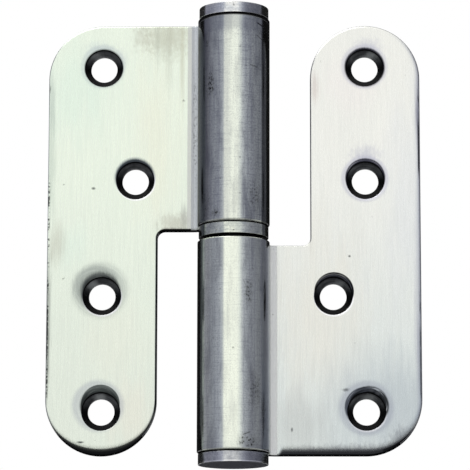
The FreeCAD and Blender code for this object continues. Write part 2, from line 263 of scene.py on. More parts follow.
# A half section carried round the pin axis, as on a lathe
turned_form, entry, leave = new_group(
    "GeometryNodeTree", "turned_form",
    [("Half Section", "NodeSocketGeometry"), ("Segments", "NodeSocketInt")],
    [("Form", "NodeSocketGeometry")])
points = put(turned_form, "GeometryNodeAttributeDomainSize", {0: entry["Half Section"]}, component="MESH").outputs["Point Count"]
columns = sums(turned_form, "ADD", entry["Segments"], 1.0)
sheet_grid = put(turned_form, "GeometryNodeMeshGrid", {"Size X": 1.0, "Size Y": 1.0, "Vertices X": columns, "Vertices Y": points})
index = put(turned_form, "GeometryNodeInputIndex").outputs[0]
column = sums(turned_form, "FLOOR", sums(turned_form, "DIVIDE", sums(turned_form, "ADD", index, 0.25), points))
row = sums(turned_form, "SUBTRACT", index, sums(turned_form, "MULTIPLY", column, points))
position = put(turned_form, "GeometryNodeInputPosition").outputs[0]
picked = put(turned_form, "GeometryNodeSampleIndex", data_type="FLOAT_VECTOR", domain="POINT")
turned_form.links.new(entry["Half Section"], picked.inputs["Geometry"])
turned_form.links.new(position, picked.inputs["Value"])
turned_form.links.new(sums(turned_form, "ROUND", row), picked.inputs["Index"])
turn = sums(turned_form, "MULTIPLY", sums(turned_form, "DIVIDE", column, entry["Segments"]), 2 * math.pi)
spun = put(turned_form, "ShaderNodeVectorRotate", {"Vector": picked.outputs[0], "Angle": turn}, rotation_type="Z_AXIS").outputs[0]
placed = put(turned_form, "GeometryNodeSetPosition", {"Geometry": sheet_grid.outputs[0], "Position": spun}).outputs[0]
merged = put(turned_form, "GeometryNodeMergeByDistance", {"Geometry": placed, "Distance": 0.000001}).outputs[0]
turned_form.links.new(merged, leave["Form"])

# Countersunk holes, one on each point of a row
hole_row, entry, leave = new_group(
    "GeometryNodeTree", "countersunk_hole_row",
    [("Hole Centres", "NodeSocketGeometry"), ("Half Section", "NodeSocketObject"),
     ("Segments", "NodeSocketInt"), ("Finish", "NodeSocketMaterial")],
    [("Holes", "NodeSocketGeometry")])
section = put(hole_row, "GeometryNodeObjectInfo", {"Object": entry["Half Section"]}).outputs["Geometry"]
drilled = put(hole_row, "GeometryNodeGroup", node_tree=turned_form)
hole_row.links.new(section, drilled.inputs["Half Section"])
hole_row.links.new(entry["Segments"], drilled.inputs["Segments"])
seam_shade = put(hole_row, "GeometryNodeInstanceOnPoints",
           {"Points": entry["Hole Centres"], "Instance": drilled.outputs[0], "Rotation": (-math.pi / 2, 0, 0)}).outputs[0]
real = put(hole_row, "GeometryNodeRealizeInstances", {"Geometry": seam_shade}).outputs[0]
finished = put(hole_row, "GeometryNodeSetMaterial", {"Geometry": real, "Material": entry["Finish"]}).outputs[0]
hole_row.links.new(finished, leave["Holes"])


def mesh_from_tree(name, start, tree, values):
    """What a tree makes of a start mesh, as a plain mesh."""
    maker = bpy.data.objects.new(name + "_maker", start)
    bpy.context.scene.collection.objects.link(maker)
    making = maker.modifiers.new("Making", "NODES")
    making.node_group = tree
    for item in tree.interface.items_tree:
        if item.in_out == "INPUT" and item.name in values:
            making[item.identifier] = values[item.name]
    bpy.context.view_layer.update()
    made = bpy.data.meshes.new_from_object(maker.evaluated_get(bpy.context.evaluated_depsgraph_get()))
    bpy.data.objects.remove(maker)
    made.name = name
    return made


def finish_piece(name, mesh, body, sharp=50):
    """Closed, outward facing, smooth shaded piece on its body in place of the plain node."""
    skin = bmesh.new()
    skin.from_mesh(mesh)
    bmesh.ops.remove_doubles(skin, verts=skin.verts, dist=0.0000005)
    bmesh.ops.dissolve_degenerate(skin, edges=skin.edges, dist=0.0000001)
    bmesh.ops.recalc_face_normals(skin, faces=skin.faces)
    for face in skin.faces:
        face.smooth = True
    skin.to_mesh(mesh)
    skin.free()
    mesh.set_sharp_from_angle(angle=math.radians(sharp))
    piece = bpy.data.objects.new(name + "_finish", mesh)
    bpy.context.scene.collection.objects.link(piece)
    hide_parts(name)
    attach(piece, body)
    return piece


def tone(red, green, blue):
    """A colour as it shows on paper, 0 to 255, as plain light."""
    parts = [c / 255 for c in (red, green, blue)]
    return tuple(c / 12.92 if c <= 0.04045 else ((c + 0.055) / 1.055) ** 2.4 for c in parts) + (1.0,)


# Grain left by the grinding belt: short hairlines and broad soft bands along the leaf
belt_grain, entry, leave = new_group(
    "ShaderNodeTree", "belt_grain",
    [("Place", "NodeSocketVector"), ("Across", "NodeSocketFloat"), ("Along", "NodeSocketFloat")],
    [("Lines", "NodeSocketFloat"), ("Bands", "NodeSocketFloat")])
stretch = put(belt_grain, "ShaderNodeCombineXYZ", {"X": entry["Across"], "Y": entry["Across"], "Z": entry["Along"]}).outputs[0]
drawn = put(belt_grain, "ShaderNodeVectorMath", {0: entry["Place"], 1: stretch}, operation="MULTIPLY").outputs[0]
lines = put(belt_grain, "ShaderNodeTexNoise", {"Vector": drawn, "Scale": 1.0, "Detail": 3.0, "Roughness": 0.6}).outputs["Fac"]
bands = put(belt_grain, "ShaderNodeTexNoise", {"Vector": drawn, "Scale": 0.12, "Detail": 3.0, "Roughness": 0.5}).outputs["Fac"]
belt_grain.links.new(lines, leave["Lines"])
belt_grain.links.new(bands, leave["Bands"])

# Small rust pits and specks
pitting, entry, leave = new_group(
    "ShaderNodeTree", "pitting",
    [("Place", "NodeSocketVector"), ("Fineness", "NodeSocketFloat"), ("Size", "NodeSocketFloat"), ("Share", "NodeSocketFloat")],
    [("Mask", "NodeSocketFloat")])
cells = put(pitting, "ShaderNodeTexVoronoi", {"Vector": entry["Place"], "Scale": entry["Fineness"], "Randomness": 1.0})
rough_edge = put(pitting, "ShaderNodeTexNoise", {"Vector": entry["Place"], "Scale": 2600.0, "Detail": 2.0}).outputs["Fac"]
ragged = sums(pitting, "ADD", cells.outputs["Distance"], sums(pitting, "MULTIPLY", sums(pitting, "SUBTRACT", rough_edge, 0.5), 0.35))
pit = put(pitting, "ShaderNodeMapRange", {"Value": ragged, "From Min": entry["Size"], "From Max": sums(pitting, "MULTIPLY", entry["Size"], 0.5)}).outputs[0]
lot = put(pitting, "ShaderNodeSeparateColor", {0: cells.outputs["Color"]}).outputs[0]
some = sums(pitting, "LESS_THAN", lot, entry["Share"])
pitting.links.new(sums(pitting, "MULTIPLY", pit, some), leave["Mask"])

# A soft edged place on a piece, for a stain, a tint, a place of wear, painted shade or a painted sheen; its edge is
# torn along the grain
soft_place, entry, leave = new_group(
    "ShaderNodeTree", "soft_place",
    [("Place", "NodeSocketVector"), ("Centre", "NodeSocketVector"), ("Reach", "NodeSocketVector"),
     ("Grain", "NodeSocketVector"), ("Raggedness", "NodeSocketFloat")],
    [("Mask", "NodeSocketFloat")])
away = put(soft_place, "ShaderNodeVectorMath", {0: entry["Place"], 1: entry["Centre"]}, operation="SUBTRACT").outputs[0]
scaled = put(soft_place, "ShaderNodeVectorMath", {0: away, 1: entry["Reach"]}, operation="DIVIDE").outputs[0]
far = put(soft_place, "ShaderNodeVectorMath", {0: scaled}, operation="LENGTH").outputs["Value"]
torn_place = put(soft_place, "ShaderNodeVectorMath", {0: entry["Place"], 1: entry["Grain"]}, operation="MULTIPLY").outputs[0]
cloud = put(soft_place, "ShaderNodeTexNoise", {"Vector": torn_place, "Scale": 1.0, "Detail": 4.0, "Roughness": 0.6}).outputs["Fac"]
torn = sums(soft_place, "ADD", far, sums(soft_place, "MULTIPLY", sums(soft_place, "SUBTRACT", cloud, 0.5), entry["Raggedness"]))
mask = put(soft_place, "ShaderNodeMapRange", {"Value": torn, "From Min": 1.0, "From Max": 0.1}, interpolation_type="SMOOTHSTEP").outputs[0]
soft_place.links.new(mask, leave["Mask"])

# Crescent beside a screw hole: a disc set off from the hole's centre, torn at its edge, with fine arcs; drawn dark
# round the holes, and white as a painted highlight on a hole's lower rim
hole_crescent, entry, leave = new_group(
    "ShaderNodeTree", "hole_crescent",
    [("Place", "NodeSocketVector"), ("Centre", "NodeSocketVector"), ("Radius", "NodeSocketFloat"),
     ("Softness", "NodeSocketFloat")],
    [("Mask", "NodeSocketFloat"), ("Arcs", "NodeSocketFloat")])
away = put(hole_crescent, "ShaderNodeVectorMath", {0: entry["Place"], 1: entry["Centre"]}, operation="SUBTRACT").outputs[0]
flat = put(hole_crescent, "ShaderNodeVectorMath", {0: away, 1: (1.0, 0.0, 1.0)}, operation="MULTIPLY").outputs[0]
far = put(hole_crescent, "ShaderNodeVectorMath", {0: flat}, operation="LENGTH").outputs["Value"]
drag = put(hole_crescent, "ShaderNodeVectorMath", {0: entry["Place"], 1: (3200.0, 10.0, 420.0)}, operation="MULTIPLY").outputs[0]
hairs = put(hole_crescent, "ShaderNodeTexNoise", {"Vector": drag, "Scale": 1.0, "Detail": 2.0}).outputs["Fac"]
fringe = sums(hole_crescent, "MULTIPLY", sums(hole_crescent, "SUBTRACT", hairs, 0.5), sums(hole_crescent, "MULTIPLY", entry["Softness"], 0.4))
far_torn = sums(hole_crescent, "ADD", far, fringe)
mask = put(hole_crescent, "ShaderNodeMapRange",
           {"Value": far_torn, "From Min": sums(hole_crescent, "ADD", entry["Radius"], entry["Softness"]),
            "From Max": sums(hole_crescent, "SUBTRACT", entry["Radius"], 0.0001)},
           interpolation_type="SMOOTHSTEP").outputs[0]
hole_crescent.links.new(mask, leave["Mask"])
swirl = put(hole_crescent, "ShaderNodeVectorMath", {0: flat, 1: (160.0, 0.0, 160.0)}, operation="MULTIPLY").outputs[0]
swirl_axes = put(hole_crescent, "ShaderNodeSeparateXYZ", {0: swirl}).outputs
ring_place = put(hole_crescent, "ShaderNodeCombineXYZ",
                 {"X": swirl_axes["X"], "Y": sums(hole_crescent, "MULTIPLY", far, 2600.0), "Z": swirl_axes["Z"]}).outputs[0]
arcs = put(hole_crescent, "ShaderNodeTexNoise", {"Vector": ring_place, "Scale": 1.0, "Detail": 2.0}).outputs["Fac"]
hole_crescent.links.new(arcs, leave["Arcs"])


def place_group(tree, group, feeds):
    """A shared group placed in a material with its own values."""
    made = tree.nodes.new("ShaderNodeGroup")
    made.node_tree = group
    for socket, value in feeds.items():
        if isinstance(value, bpy.types.NodeSocket):
            tree.links.new(value, made.inputs[socket])
        else:
            made.inputs[socket].default_value = value
    return made.outputs


def blend_colour(tree, share, first, second):
    """First colour with a share of the second."""
    mixed = put(tree, "ShaderNodeMix", {0: share, 6: first, 7: second}, data_type="RGBA")
    return mixed.outputs[2]


def steel(name, roughness):
    """A bare steel material: its tree, its shader and the place on the piece."""
    made = bpy.data.materials.new(name)
    made.use_nodes = True
    tree = made.node_tree
    shader = next(n for n in tree.nodes if n.type == "BSDF_PRINCIPLED")
    shader.inputs["Metallic"].default_value = 1.0
    shader.inputs["Roughness"].default_value = roughness
    place = put(tree, "ShaderNodeTexCoord").outputs["Object"]
    return made, tree, shader, place


def map_to(tree, value, low, high, first, second):
    """Value from low to high carried to first to second, softly."""
    feeds = {"Value": value, "From Min": low, "From Max": high, "To Min": first, "To Max": second}
    return put(tree, "ShaderNodeMapRange", feeds, interpolation_type="SMOOTHSTEP").outputs[0]


def leaf_place(x, z, y=LEAF_FRONT):
    """A place on the leaf in metres from its millimetres."""
    return (x * MM, y * MM, z * MM)


def leaf_face_steel(name, upper, lower, tints, smudges_and_shades, crescents, wears, strip, nicks, painted_edge_shade, edge_shade_lines):
    """Ground face of a leaf: hairlines, soft tints, smudged places, dark crescents and a painted highlight at the screw
    holes, painted shade on rolled edges, and dented sides.
    """
    made, tree, shader, place = steel(name, 0.28)
    hair = place_group(tree, belt_grain, {"Place": place, "Across": 3900.0, "Along": 120.0})
    broad = place_group(tree, belt_grain, {"Place": place, "Across": 900.0, "Along": 110.0})
    axes = put(tree, "ShaderNodeSeparateXYZ", {0: place}).outputs
    side = sums(tree, "ABSOLUTE", axes["X"])
    colour = blend_colour(tree, map_to(tree, axes["Z"], -0.055, 0.03, 0.0, 1.0), lower, upper)
    for centre, reach, share, shade in tints:
        feeds = {"Place": place, "Centre": leaf_place(*centre), "Reach": (reach[0] * MM, 0.05, reach[1] * MM),
                 "Grain": (330.0, 50.0, 60.0), "Raggedness": 1.1}
        mask = place_group(tree, soft_place, feeds)["Mask"]
        colour = blend_colour(tree, sums(tree, "MULTIPLY", mask, share), colour, shade)
    # Smudges, and painted shade along edges, at the shoulder and on the tab's inner side
    for centre, reach, share, shade in smudges_and_shades:
        feeds = {"Place": place, "Centre": leaf_place(*centre), "Reach": (reach[0] * MM, 0.05, reach[1] * MM),
                 "Grain": (2600.0, 50.0, 110.0) if reach[1] > 1.8 * reach[0] else (1300.0, 50.0, 800.0), "Raggedness": 1.2}
        mask = place_group(tree, soft_place, feeds)["Mask"]
        colour = blend_colour(tree, sums(tree, "MULTIPLY", mask, share), colour, shade)
    beside = sums(tree, "MULTIPLY", map_to(tree, side, strip[0] * MM, (strip[0] - 0.25) * MM, 0.0, 1.0), strip[1])
    colour = blend_colour(tree, beside, colour, tone(200, 201, 198))
    colour = blend_colour(tree, map_to(tree, broad["Bands"], 0.3, 0.7, 0.0, 0.06), colour, tone(196, 203, 200))
    colour = blend_colour(tree, map_to(tree, hair["Lines"], 0.3, 0.75, 0.0, 0.08), colour, tone(176, 184, 182))
    # Crescents at the screw holes: dark ones round them, and white ones that paint a highlight on a hole's lower rim
    for centre, radius, softness, share, shade, streaks in crescents:
        feeds = {"Place": place, "Centre": leaf_place(*centre), "Radius": radius * MM, "Softness": softness * MM}
        mark = place_group(tree, hole_crescent, feeds)
        thin = map_to(tree, mark["Arcs"], 0.52, 0.64, 1.0, 1.0 - streaks)
        dark = sums(tree, "MULTIPLY", sums(tree, "MULTIPLY", mark["Mask"], share), thin)
        colour = blend_colour(tree, dark, colour, shade)
    for centre, reach, share in wears:
        feeds = {"Place": place, "Centre": leaf_place(*centre), "Reach": (reach[0] * MM, 0.05, reach[1] * MM),
                 "Grain": (900.0, 50.0, 700.0), "Raggedness": 1.0}
        mask = place_group(tree, soft_place, feeds)["Mask"]
        colour = blend_colour(tree, sums(tree, "MULTIPLY", mask, share), colour, tone(66, 68, 72))
    pits = place_group(tree, pitting, {"Place": place, "Fineness": 230.0, "Size": 0.07, "Share": 0.12})["Mask"]
    colour = blend_colour(tree, sums(tree, "MULTIPLY", pits, 0.5), colour, tone(90, 92, 90))
    outer = map_to(tree, side, (REACH - nicks[0]) * MM, (REACH - nicks[0] + 0.35) * MM, 0.0, 1.0)
    along = put(tree, "ShaderNodeCombineXYZ", {"X": sums(tree, "MULTIPLY", axes["X"], 1500.0), "Z": sums(tree, "MULTIPLY", axes["Z"], nicks[4])}).outputs[0]
    dents = put(tree, "ShaderNodeTexNoise", {"Vector": along, "Scale": 1.0, "Detail": 3.0, "Roughness": 0.6}).outputs["Fac"]
    runs = put(tree, "ShaderNodeTexNoise", {"Vector": along, "Scale": 0.15, "Detail": 1.0}).outputs["Fac"]
    dents = sums(tree, "ADD", dents, sums(tree, "MULTIPLY", sums(tree, "SUBTRACT", runs, 0.5), 0.7))
    # Painted shade: rolled edges darker once they turn below the front face
    rolled = sums(tree, "MULTIPLY", map_to(tree, axes["Y"], (LEAF_FRONT + 0.08) * MM, (LEAF_FRONT + 0.5) * MM, 0.0, 0.97),
                  map_to(tree, axes["Y"], (LEAF_FRONT + 2.3) * MM, (LEAF_FRONT + 2.0) * MM, 0.0, 1.0))
    colour = blend_colour(tree, rolled, colour, tone(100, 102, 106))
    # Painted shade, in the given share: a black line on the tab's inner side low down, and the bottom rolled edge near
    # black
    inner = sums(tree, "MULTIPLY", map_to(tree, side, (TAB_INNER + 0.75) * MM, (TAB_INNER + 0.55) * MM, 0.0, painted_edge_shade),
                 map_to(tree, axes["Z"], 6 * MM, 5 * MM, 0.0, 1.0))
    below_front = map_to(tree, axes["Y"], (LEAF_FRONT + 0.01) * MM, (LEAF_FRONT + 0.06) * MM, 0.0, 1.0)
    colour = blend_colour(tree, sums(tree, "MULTIPLY", inner, below_front), colour, tone(16, 18, 18))
    foot_start = map_to(tree, axes["Z"], -50 * MM, -43 * MM, (LEAF_FRONT + 0.1) * MM, (LEAF_FRONT + 0.015) * MM)
    foot = sums(tree, "MULTIPLY", map_to(tree, axes["Y"], foot_start, sums(tree, "ADD", foot_start, 0.08 * MM), 0.0, 1.0),
                map_to(tree, axes["Z"], -38 * MM, -41 * MM, 0.0, 0.8 * painted_edge_shade))
    colour = blend_colour(tree, foot, colour, tone(30, 32, 32))
    # Painted shade: dark lines on rolled edges past a given depth, inside a given band
    for inward, low, high, fade, depth, share, shade in edge_shade_lines:
        deep = map_to(tree, axes["Y"], (LEAF_FRONT + depth) * MM, (LEAF_FRONT + depth + 0.05) * MM, 0.0, share)
        for value, start, end in ((side, inward, inward + 0.4), (axes["Z"], low, low + fade), (axes["Z"], high, high - fade)):
            deep = sums(tree, "MULTIPLY", deep, map_to(tree, value, start * MM, end * MM, 0.0, 1.0))
        colour = blend_colour(tree, deep, colour, shade)
    zone = sums(tree, "MULTIPLY", map_to(tree, axes["Z"], (nicks[2] - 5) * MM, nicks[2] * MM, 0.0, 1.0),
                map_to(tree, axes["Z"], (nicks[3] + 5) * MM, nicks[3] * MM, 0.0, 1.0))
    nicked = sums(tree, "MULTIPLY", sums(tree, "MULTIPLY", outer, zone), map_to(tree, dents, 0.48, 0.56, 0.0, nicks[1]))
    colour = blend_colour(tree, nicked, colour, tone(34, 36, 38))
    tree.links.new(colour, shader.inputs["Base Color"])
    dull = map_to(tree, hair["Lines"], 0.3, 0.7, 0.24, 0.32)
    tree.links.new(dull, shader.inputs["Roughness"])
    relief = sums(tree, "SUBTRACT", sums(tree, "SUBTRACT", sums(tree, "MULTIPLY", hair["Lines"], 0.5), pits), nicked)
    bump = put(tree, "ShaderNodeBump", {"Strength": 0.10, "Distance": 0.00002, "Height": relief}).outputs[0]
    tree.links.new(bump, shader.inputs["Normal"])
    return made


def knuckle_steel(name, clean, patina, sides, seam_shades, ended, wear_and_sheens, scratches, fillet_light_and_shade):
    """Drawn skin of a rolled knuckle: streaks along the pin, fine mottle, pits and scratches; painted shade on its
    flanks and in the seams at its ends, and painted light on the fillet into the leaf.
    """
    made, tree, shader, place = steel(name, 0.15)
    axes = put(tree, "ShaderNodeSeparateXYZ", {0: place}).outputs
    grain = place_group(tree, belt_grain, {"Place": place, "Across": 2100.0, "Along": 75.0})
    fine = put(tree, "ShaderNodeVectorMath", {0: place, 1: (3600.0, 3600.0, 2600.0)}, operation="MULTIPLY").outputs[0]
    mottle = put(tree, "ShaderNodeTexNoise", {"Vector": fine, "Scale": 1.0, "Detail": 3.0, "Roughness": 0.7}).outputs["Fac"]
    around = sums(tree, "ARCTAN2", axes["X"], sums(tree, "MULTIPLY", axes["Y"], -1.0))
    # The front band, where the highlight falls, keeps less of the mottle and grain: a painted clean highlight
    from_crown = sums(tree, "ABSOLUTE", sums(tree, "ADD", around, math.radians(1.5)))
    rough_share = map_to(tree, from_crown, math.radians(11), math.radians(21), 0.45, 1.0)
    band_place = put(tree, "ShaderNodeCombineXYZ", {"X": sums(tree, "MULTIPLY", around, 1.6), "Z": sums(tree, "MULTIPLY", axes["Z"], 3300.0)}).outputs[0]
    girth = put(tree, "ShaderNodeTexNoise", {"Vector": band_place, "Scale": 1.0, "Detail": 4.0, "Roughness": 0.65}).outputs["Fac"]
    stain_place = put(tree, "ShaderNodeVectorMath", {0: place, 1: (330.0, 330.0, 75.0)}, operation="MULTIPLY").outputs[0]
    stain = put(tree, "ShaderNodeTexNoise", {"Vector": stain_place, "Scale": 1.0, "Detail": 4.0, "Roughness": 0.6}).outputs["Fac"]
    colour = clean
    for pattern, low, high, share, shade in (
            (grain["Bands"], 0.35, 0.68, 0.34, tone(178, 184, 194)),
            (grain["Lines"], 0.38, 0.72, 0.38, tone(142, 146, 158)),
            (mottle, 0.42, 0.72, 0.52, tone(112, 115, 126)),
            (girth, 0.48, 0.72, 0.48, tone(108, 110, 126)),
            (stain, 0.47, 0.66, 0.50, tone(100, 103, 114))):
        colour = blend_colour(tree, sums(tree, "MULTIPLY", map_to(tree, pattern, low, high, 0.0, share * patina), rough_share), colour, shade)
    near_axis = map_to(tree, sums(tree, "ABSOLUTE", axes["X"]), 0.00925, 0.00910, 0.0, 1.0)
    shade_dulling = 0.0
    # Painted shade on the flanks between given turns, fading towards the back; a given dulling also takes the shine
    # from it
    for turn_way, start, end, share, shade, dulling in sides:
        turned_to = sums(tree, "MULTIPLY", around, turn_way)
        side_shade = map_to(tree, turned_to, math.radians(start), math.radians(end), 0.0, share)
        ahead_of_back = map_to(tree, turned_to, math.radians(88), math.radians(104), 1.0, 0.0)
        side_shade = sums(tree, "MULTIPLY", sums(tree, "MULTIPLY", side_shade, near_axis), ahead_of_back)
        colour = blend_colour(tree, side_shade, colour, shade)
        if dulling:
            shade_dulling = sums(tree, "MULTIPLY", side_shade, dulling)
    low, high, share, shade = ended
    cloudy = sums(tree, "ADD", axes["Z"], sums(tree, "MULTIPLY", sums(tree, "SUBTRACT", mottle, 0.5), 0.004))
    colour = blend_colour(tree, map_to(tree, cloudy, low * MM, high * MM, 0.0, share), colour, shade)
    hang = sums(tree, "ADD", sums(tree, "ADD", axes["Z"], sums(tree, "MULTIPLY", axes["Y"], 0.1)), 0.1 * KNUCKLE * MM)
    # Painted shade in the seams where the plug and the ring meet the knuckle's ends, reaching lower on the flanks; it
    # also takes the shine away
    for start, end, share in seam_shades:
        painted_band = sums(tree, "MULTIPLY", map_to(tree, hang, start * MM, end * MM, 0.0, share),
                   map_to(tree, from_crown, math.radians(84), math.radians(112), 1.0, 0.0))
        colour = blend_colour(tree, painted_band, colour, tone(18, 18, 20))
        shade_dulling = sums(tree, "MAXIMUM", shade_dulling, painted_band)
    pits = place_group(tree, pitting, {"Place": place, "Fineness": 620.0, "Size": 0.17, "Share": 0.10})["Mask"]
    marks = sums(tree, "MULTIPLY", pits, 0.4)
    close_place = put(tree, "ShaderNodeVectorMath", {0: place, 1: (1.0, 1.0, 0.8)}, operation="MULTIPLY").outputs[0]
    close = place_group(tree, pitting, {"Place": close_place, "Fineness": 1900.0, "Size": 0.56, "Share": 0.8})["Mask"]
    for centre, reach, share in wear_and_sheens:
        feeds = {"Place": place, "Centre": leaf_place(*centre), "Reach": tuple(r * MM for r in reach),
                 "Grain": (900.0, 900.0, 400.0), "Raggedness": 1.3}
        patch = place_group(tree, soft_place, feeds)["Mask"]
        both = sums(tree, "MULTIPLY", patch, sums(tree, "ADD", sums(tree, "MULTIPLY", close, 0.75), 0.25))
        marks = sums(tree, "MAXIMUM", marks, sums(tree, "MULTIPLY", both, share))
    for turn_at, height, length, slope, share in scratches:
        from_turn = sums(tree, "SUBTRACT", around, math.radians(turn_at))
        along = sums(tree, "MULTIPLY", from_turn, KNUCKLE * MM)
        line = sums(tree, "SUBTRACT", sums(tree, "SUBTRACT", axes["Z"], height * MM), sums(tree, "MULTIPLY", along, slope))
        thin = map_to(tree, sums(tree, "ABSOLUTE", line), 0.00028, 0.00008, 0.0, share)
        short = map_to(tree, sums(tree, "ABSOLUTE", along), length * MM, length * 0.6 * MM, 0.0, 1.0)
        marks = sums(tree, "MAXIMUM", marks, sums(tree, "MULTIPLY", thin, short))
    out = sums(tree, "ABSOLUTE", axes["X"])
    # Painted light: the fillet into the leaf pale and less metallic; below, painted shade on a band beside it
    fillet = map_to(tree, out, 0.00902, 0.0093, 0.0, 1.0)
    bare = sums(tree, "MULTIPLY", map_to(tree, fillet, 0.0, 1.0, 1.0, 1.0 - fillet_light_and_shade[0]), sums(tree, "SUBTRACT", 1.0, shade_dulling))
    tree.links.new(bare, shader.inputs["Metallic"])
    shader.inputs["Specular IOR Level"].default_value = 0.0
    colour = blend_colour(tree, sums(tree, "MULTIPLY", fillet, 0.85), colour, fillet_light_and_shade[1])
    crease_shade = sums(tree, "MULTIPLY", map_to(tree, out, 0.0098, 0.0103, 0.0, 1.0), map_to(tree, out, 0.0111, 0.0108, 0.0, fillet_light_and_shade[2]))
    colour = blend_colour(tree, crease_shade, colour, tone(120, 122, 130))
    colour = blend_colour(tree, marks, colour, tone(30, 31, 38))
    tree.links.new(colour, shader.inputs["Base Color"])
    dull = sums(tree, "ADD", map_to(tree, mottle, 0.3, 0.75, 0.11, 0.20), sums(tree, "MULTIPLY", fillet, 0.34))
    tree.links.new(sums(tree, "ADD", dull, sums(tree, "MULTIPLY", marks, 0.3)), shader.inputs["Roughness"])
    height = sums(tree, "SUBTRACT", sums(tree, "ADD", sums(tree, "MULTIPLY", grain["Lines"], 0.3), sums(tree, "MULTIPLY", mottle, 0.7)), marks)
    bump = put(tree, "ShaderNodeBump", {"Strength": 0.12, "Distance": 0.00002, "Height": height}).outputs[0]
    tree.links.new(bump, shader.inputs["Normal"])
    return made


def sheared_steel(name, torn, brighter, shine):
    """Side of the sheet: a burnished band below the rolled edge, then torn steel; a near black copy without shine
    paints shade on faces that look down.
    """
    made, tree, shader, place = steel(name, 0.5)
    shader.inputs["Metallic"].default_value = shine
    shader.inputs["Specular IOR Level"].default_value = 0.5 * shine
    depth = put(tree, "ShaderNodeSeparateXYZ", {0: place}).outputs["Y"]
    mottle = put(tree, "ShaderNodeTexNoise", {"Vector": place, "Scale": 1900.0, "Detail": 4.0, "Roughness": 0.65}).outputs["Fac"]
    colour = blend_colour(tree, map_to(tree, mottle, 0.35, 0.7, 0.0, 1.0), torn, brighter)
    edge = sums(tree, "ADD", depth, sums(tree, "MULTIPLY", sums(tree, "SUBTRACT", mottle, 0.5), 0.0003))
    shiny = map_to(tree, edge, (LEAF_FRONT + 2.0) * MM, (LEAF_FRONT + 1.75) * MM, 0.0, 0.5 * shine)
    colour = blend_colour(tree, shiny, colour, tone(170, 172, 176))
    tree.links.new(colour, shader.inputs["Base Color"])
    bump = put(tree, "ShaderNodeBump", {"Strength": 0.4, "Distance": 0.00005, "Height": mottle}).outputs[0]
    tree.links.new(bump, shader.inputs["Normal"])
    return made


def countersink_steel(name, wear_and_sheens):
    """Wall of a screw hole with painted light and shade: near black below, grey with smears and tool marks above,
    painted sheens on some, a painted black line at the rim; from_hole is the place round it.
    """
    made, tree, shader, place = steel(name, 0.45)
    around = put(tree, "ShaderNodeAttribute", attribute_name="from_hole").outputs["Vector"]
    parts = put(tree, "ShaderNodeSeparateXYZ", {0: around}).outputs
    flat = put(tree, "ShaderNodeVectorMath", {0: around, 1: (1.0, 0.0, 1.0)}, operation="MULTIPLY").outputs[0]
    far = put(tree, "ShaderNodeVectorMath", {0: flat}, operation="LENGTH").outputs["Value"]
    cloud = put(tree, "ShaderNodeTexNoise", {"Vector": place, "Scale": 520.0, "Detail": 3.0}).outputs["Fac"]
    turned = put(tree, "ShaderNodeCombineXYZ", {"X": sums(tree, "MULTIPLY", parts["X"], 150.0), "Y": sums(tree, "MULTIPLY", far, 2600.0),
                                              "Z": sums(tree, "MULTIPLY", parts["Z"], 150.0)}).outputs[0]
    arcs = put(tree, "ShaderNodeTexNoise", {"Vector": turned, "Scale": 1.0, "Detail": 2.0}).outputs["Fac"]
    # Painted light and shade: the upper part of the wall grey, the lower part near black
    lit_above = map_to(tree, parts["Z"], -0.0005, 0.0040, 0.0, 1.0)
    colour = blend_colour(tree, lit_above, tone(9, 10, 11), tone(68, 71, 74))
    smear = sums(tree, "MULTIPLY", lit_above, map_to(tree, cloud, 0.42, 0.64, 0.0, 0.5))
    colour = blend_colour(tree, smear, colour, tone(100, 103, 108))
    ringed = sums(tree, "MULTIPLY", lit_above, map_to(tree, arcs, 0.48, 0.66, 0.0, 0.7))
    colour = blend_colour(tree, ringed, colour, tone(26, 28, 30))
    # Painted sheens: lighter patches on the upper wall of given holes
    for centre, reach, share in wear_and_sheens:
        feeds = {"Place": place, "Centre": leaf_place(*centre), "Reach": (reach[0] * MM, 0.05, reach[1] * MM),
                 "Grain": (900.0, 50.0, 900.0), "Raggedness": 0.7}
        mask = place_group(tree, soft_place, feeds)["Mask"]
        colour = blend_colour(tree, sums(tree, "MULTIPLY", mask, share), colour, tone(146, 150, 152))
    # Painted shade: a black line round the wall's outer edge
    rim_shade = map_to(tree, far, (SINK_RADIUS - 0.42) * MM, (SINK_RADIUS - 0.24) * MM, 0.0, 1.0)
    colour = blend_colour(tree, rim_shade, colour, tone(7, 8, 9))
    tree.links.new(colour, shader.inputs["Base Color"])
    painted = sums(tree, "MULTIPLY", lit_above, sums(tree, "SUBTRACT", 1.0, rim_shade))
    tree.links.new(map_to(tree, painted, 0.0, 1.0, 0.8, 0.15), shader.inputs["Metallic"])
    bump = put(tree, "ShaderNodeBump", {"Strength": 0.25, "Distance": 0.00004, "Height": arcs}).outputs[0]
    tree.links.new(bump, shader.inputs["Normal"])
    return made


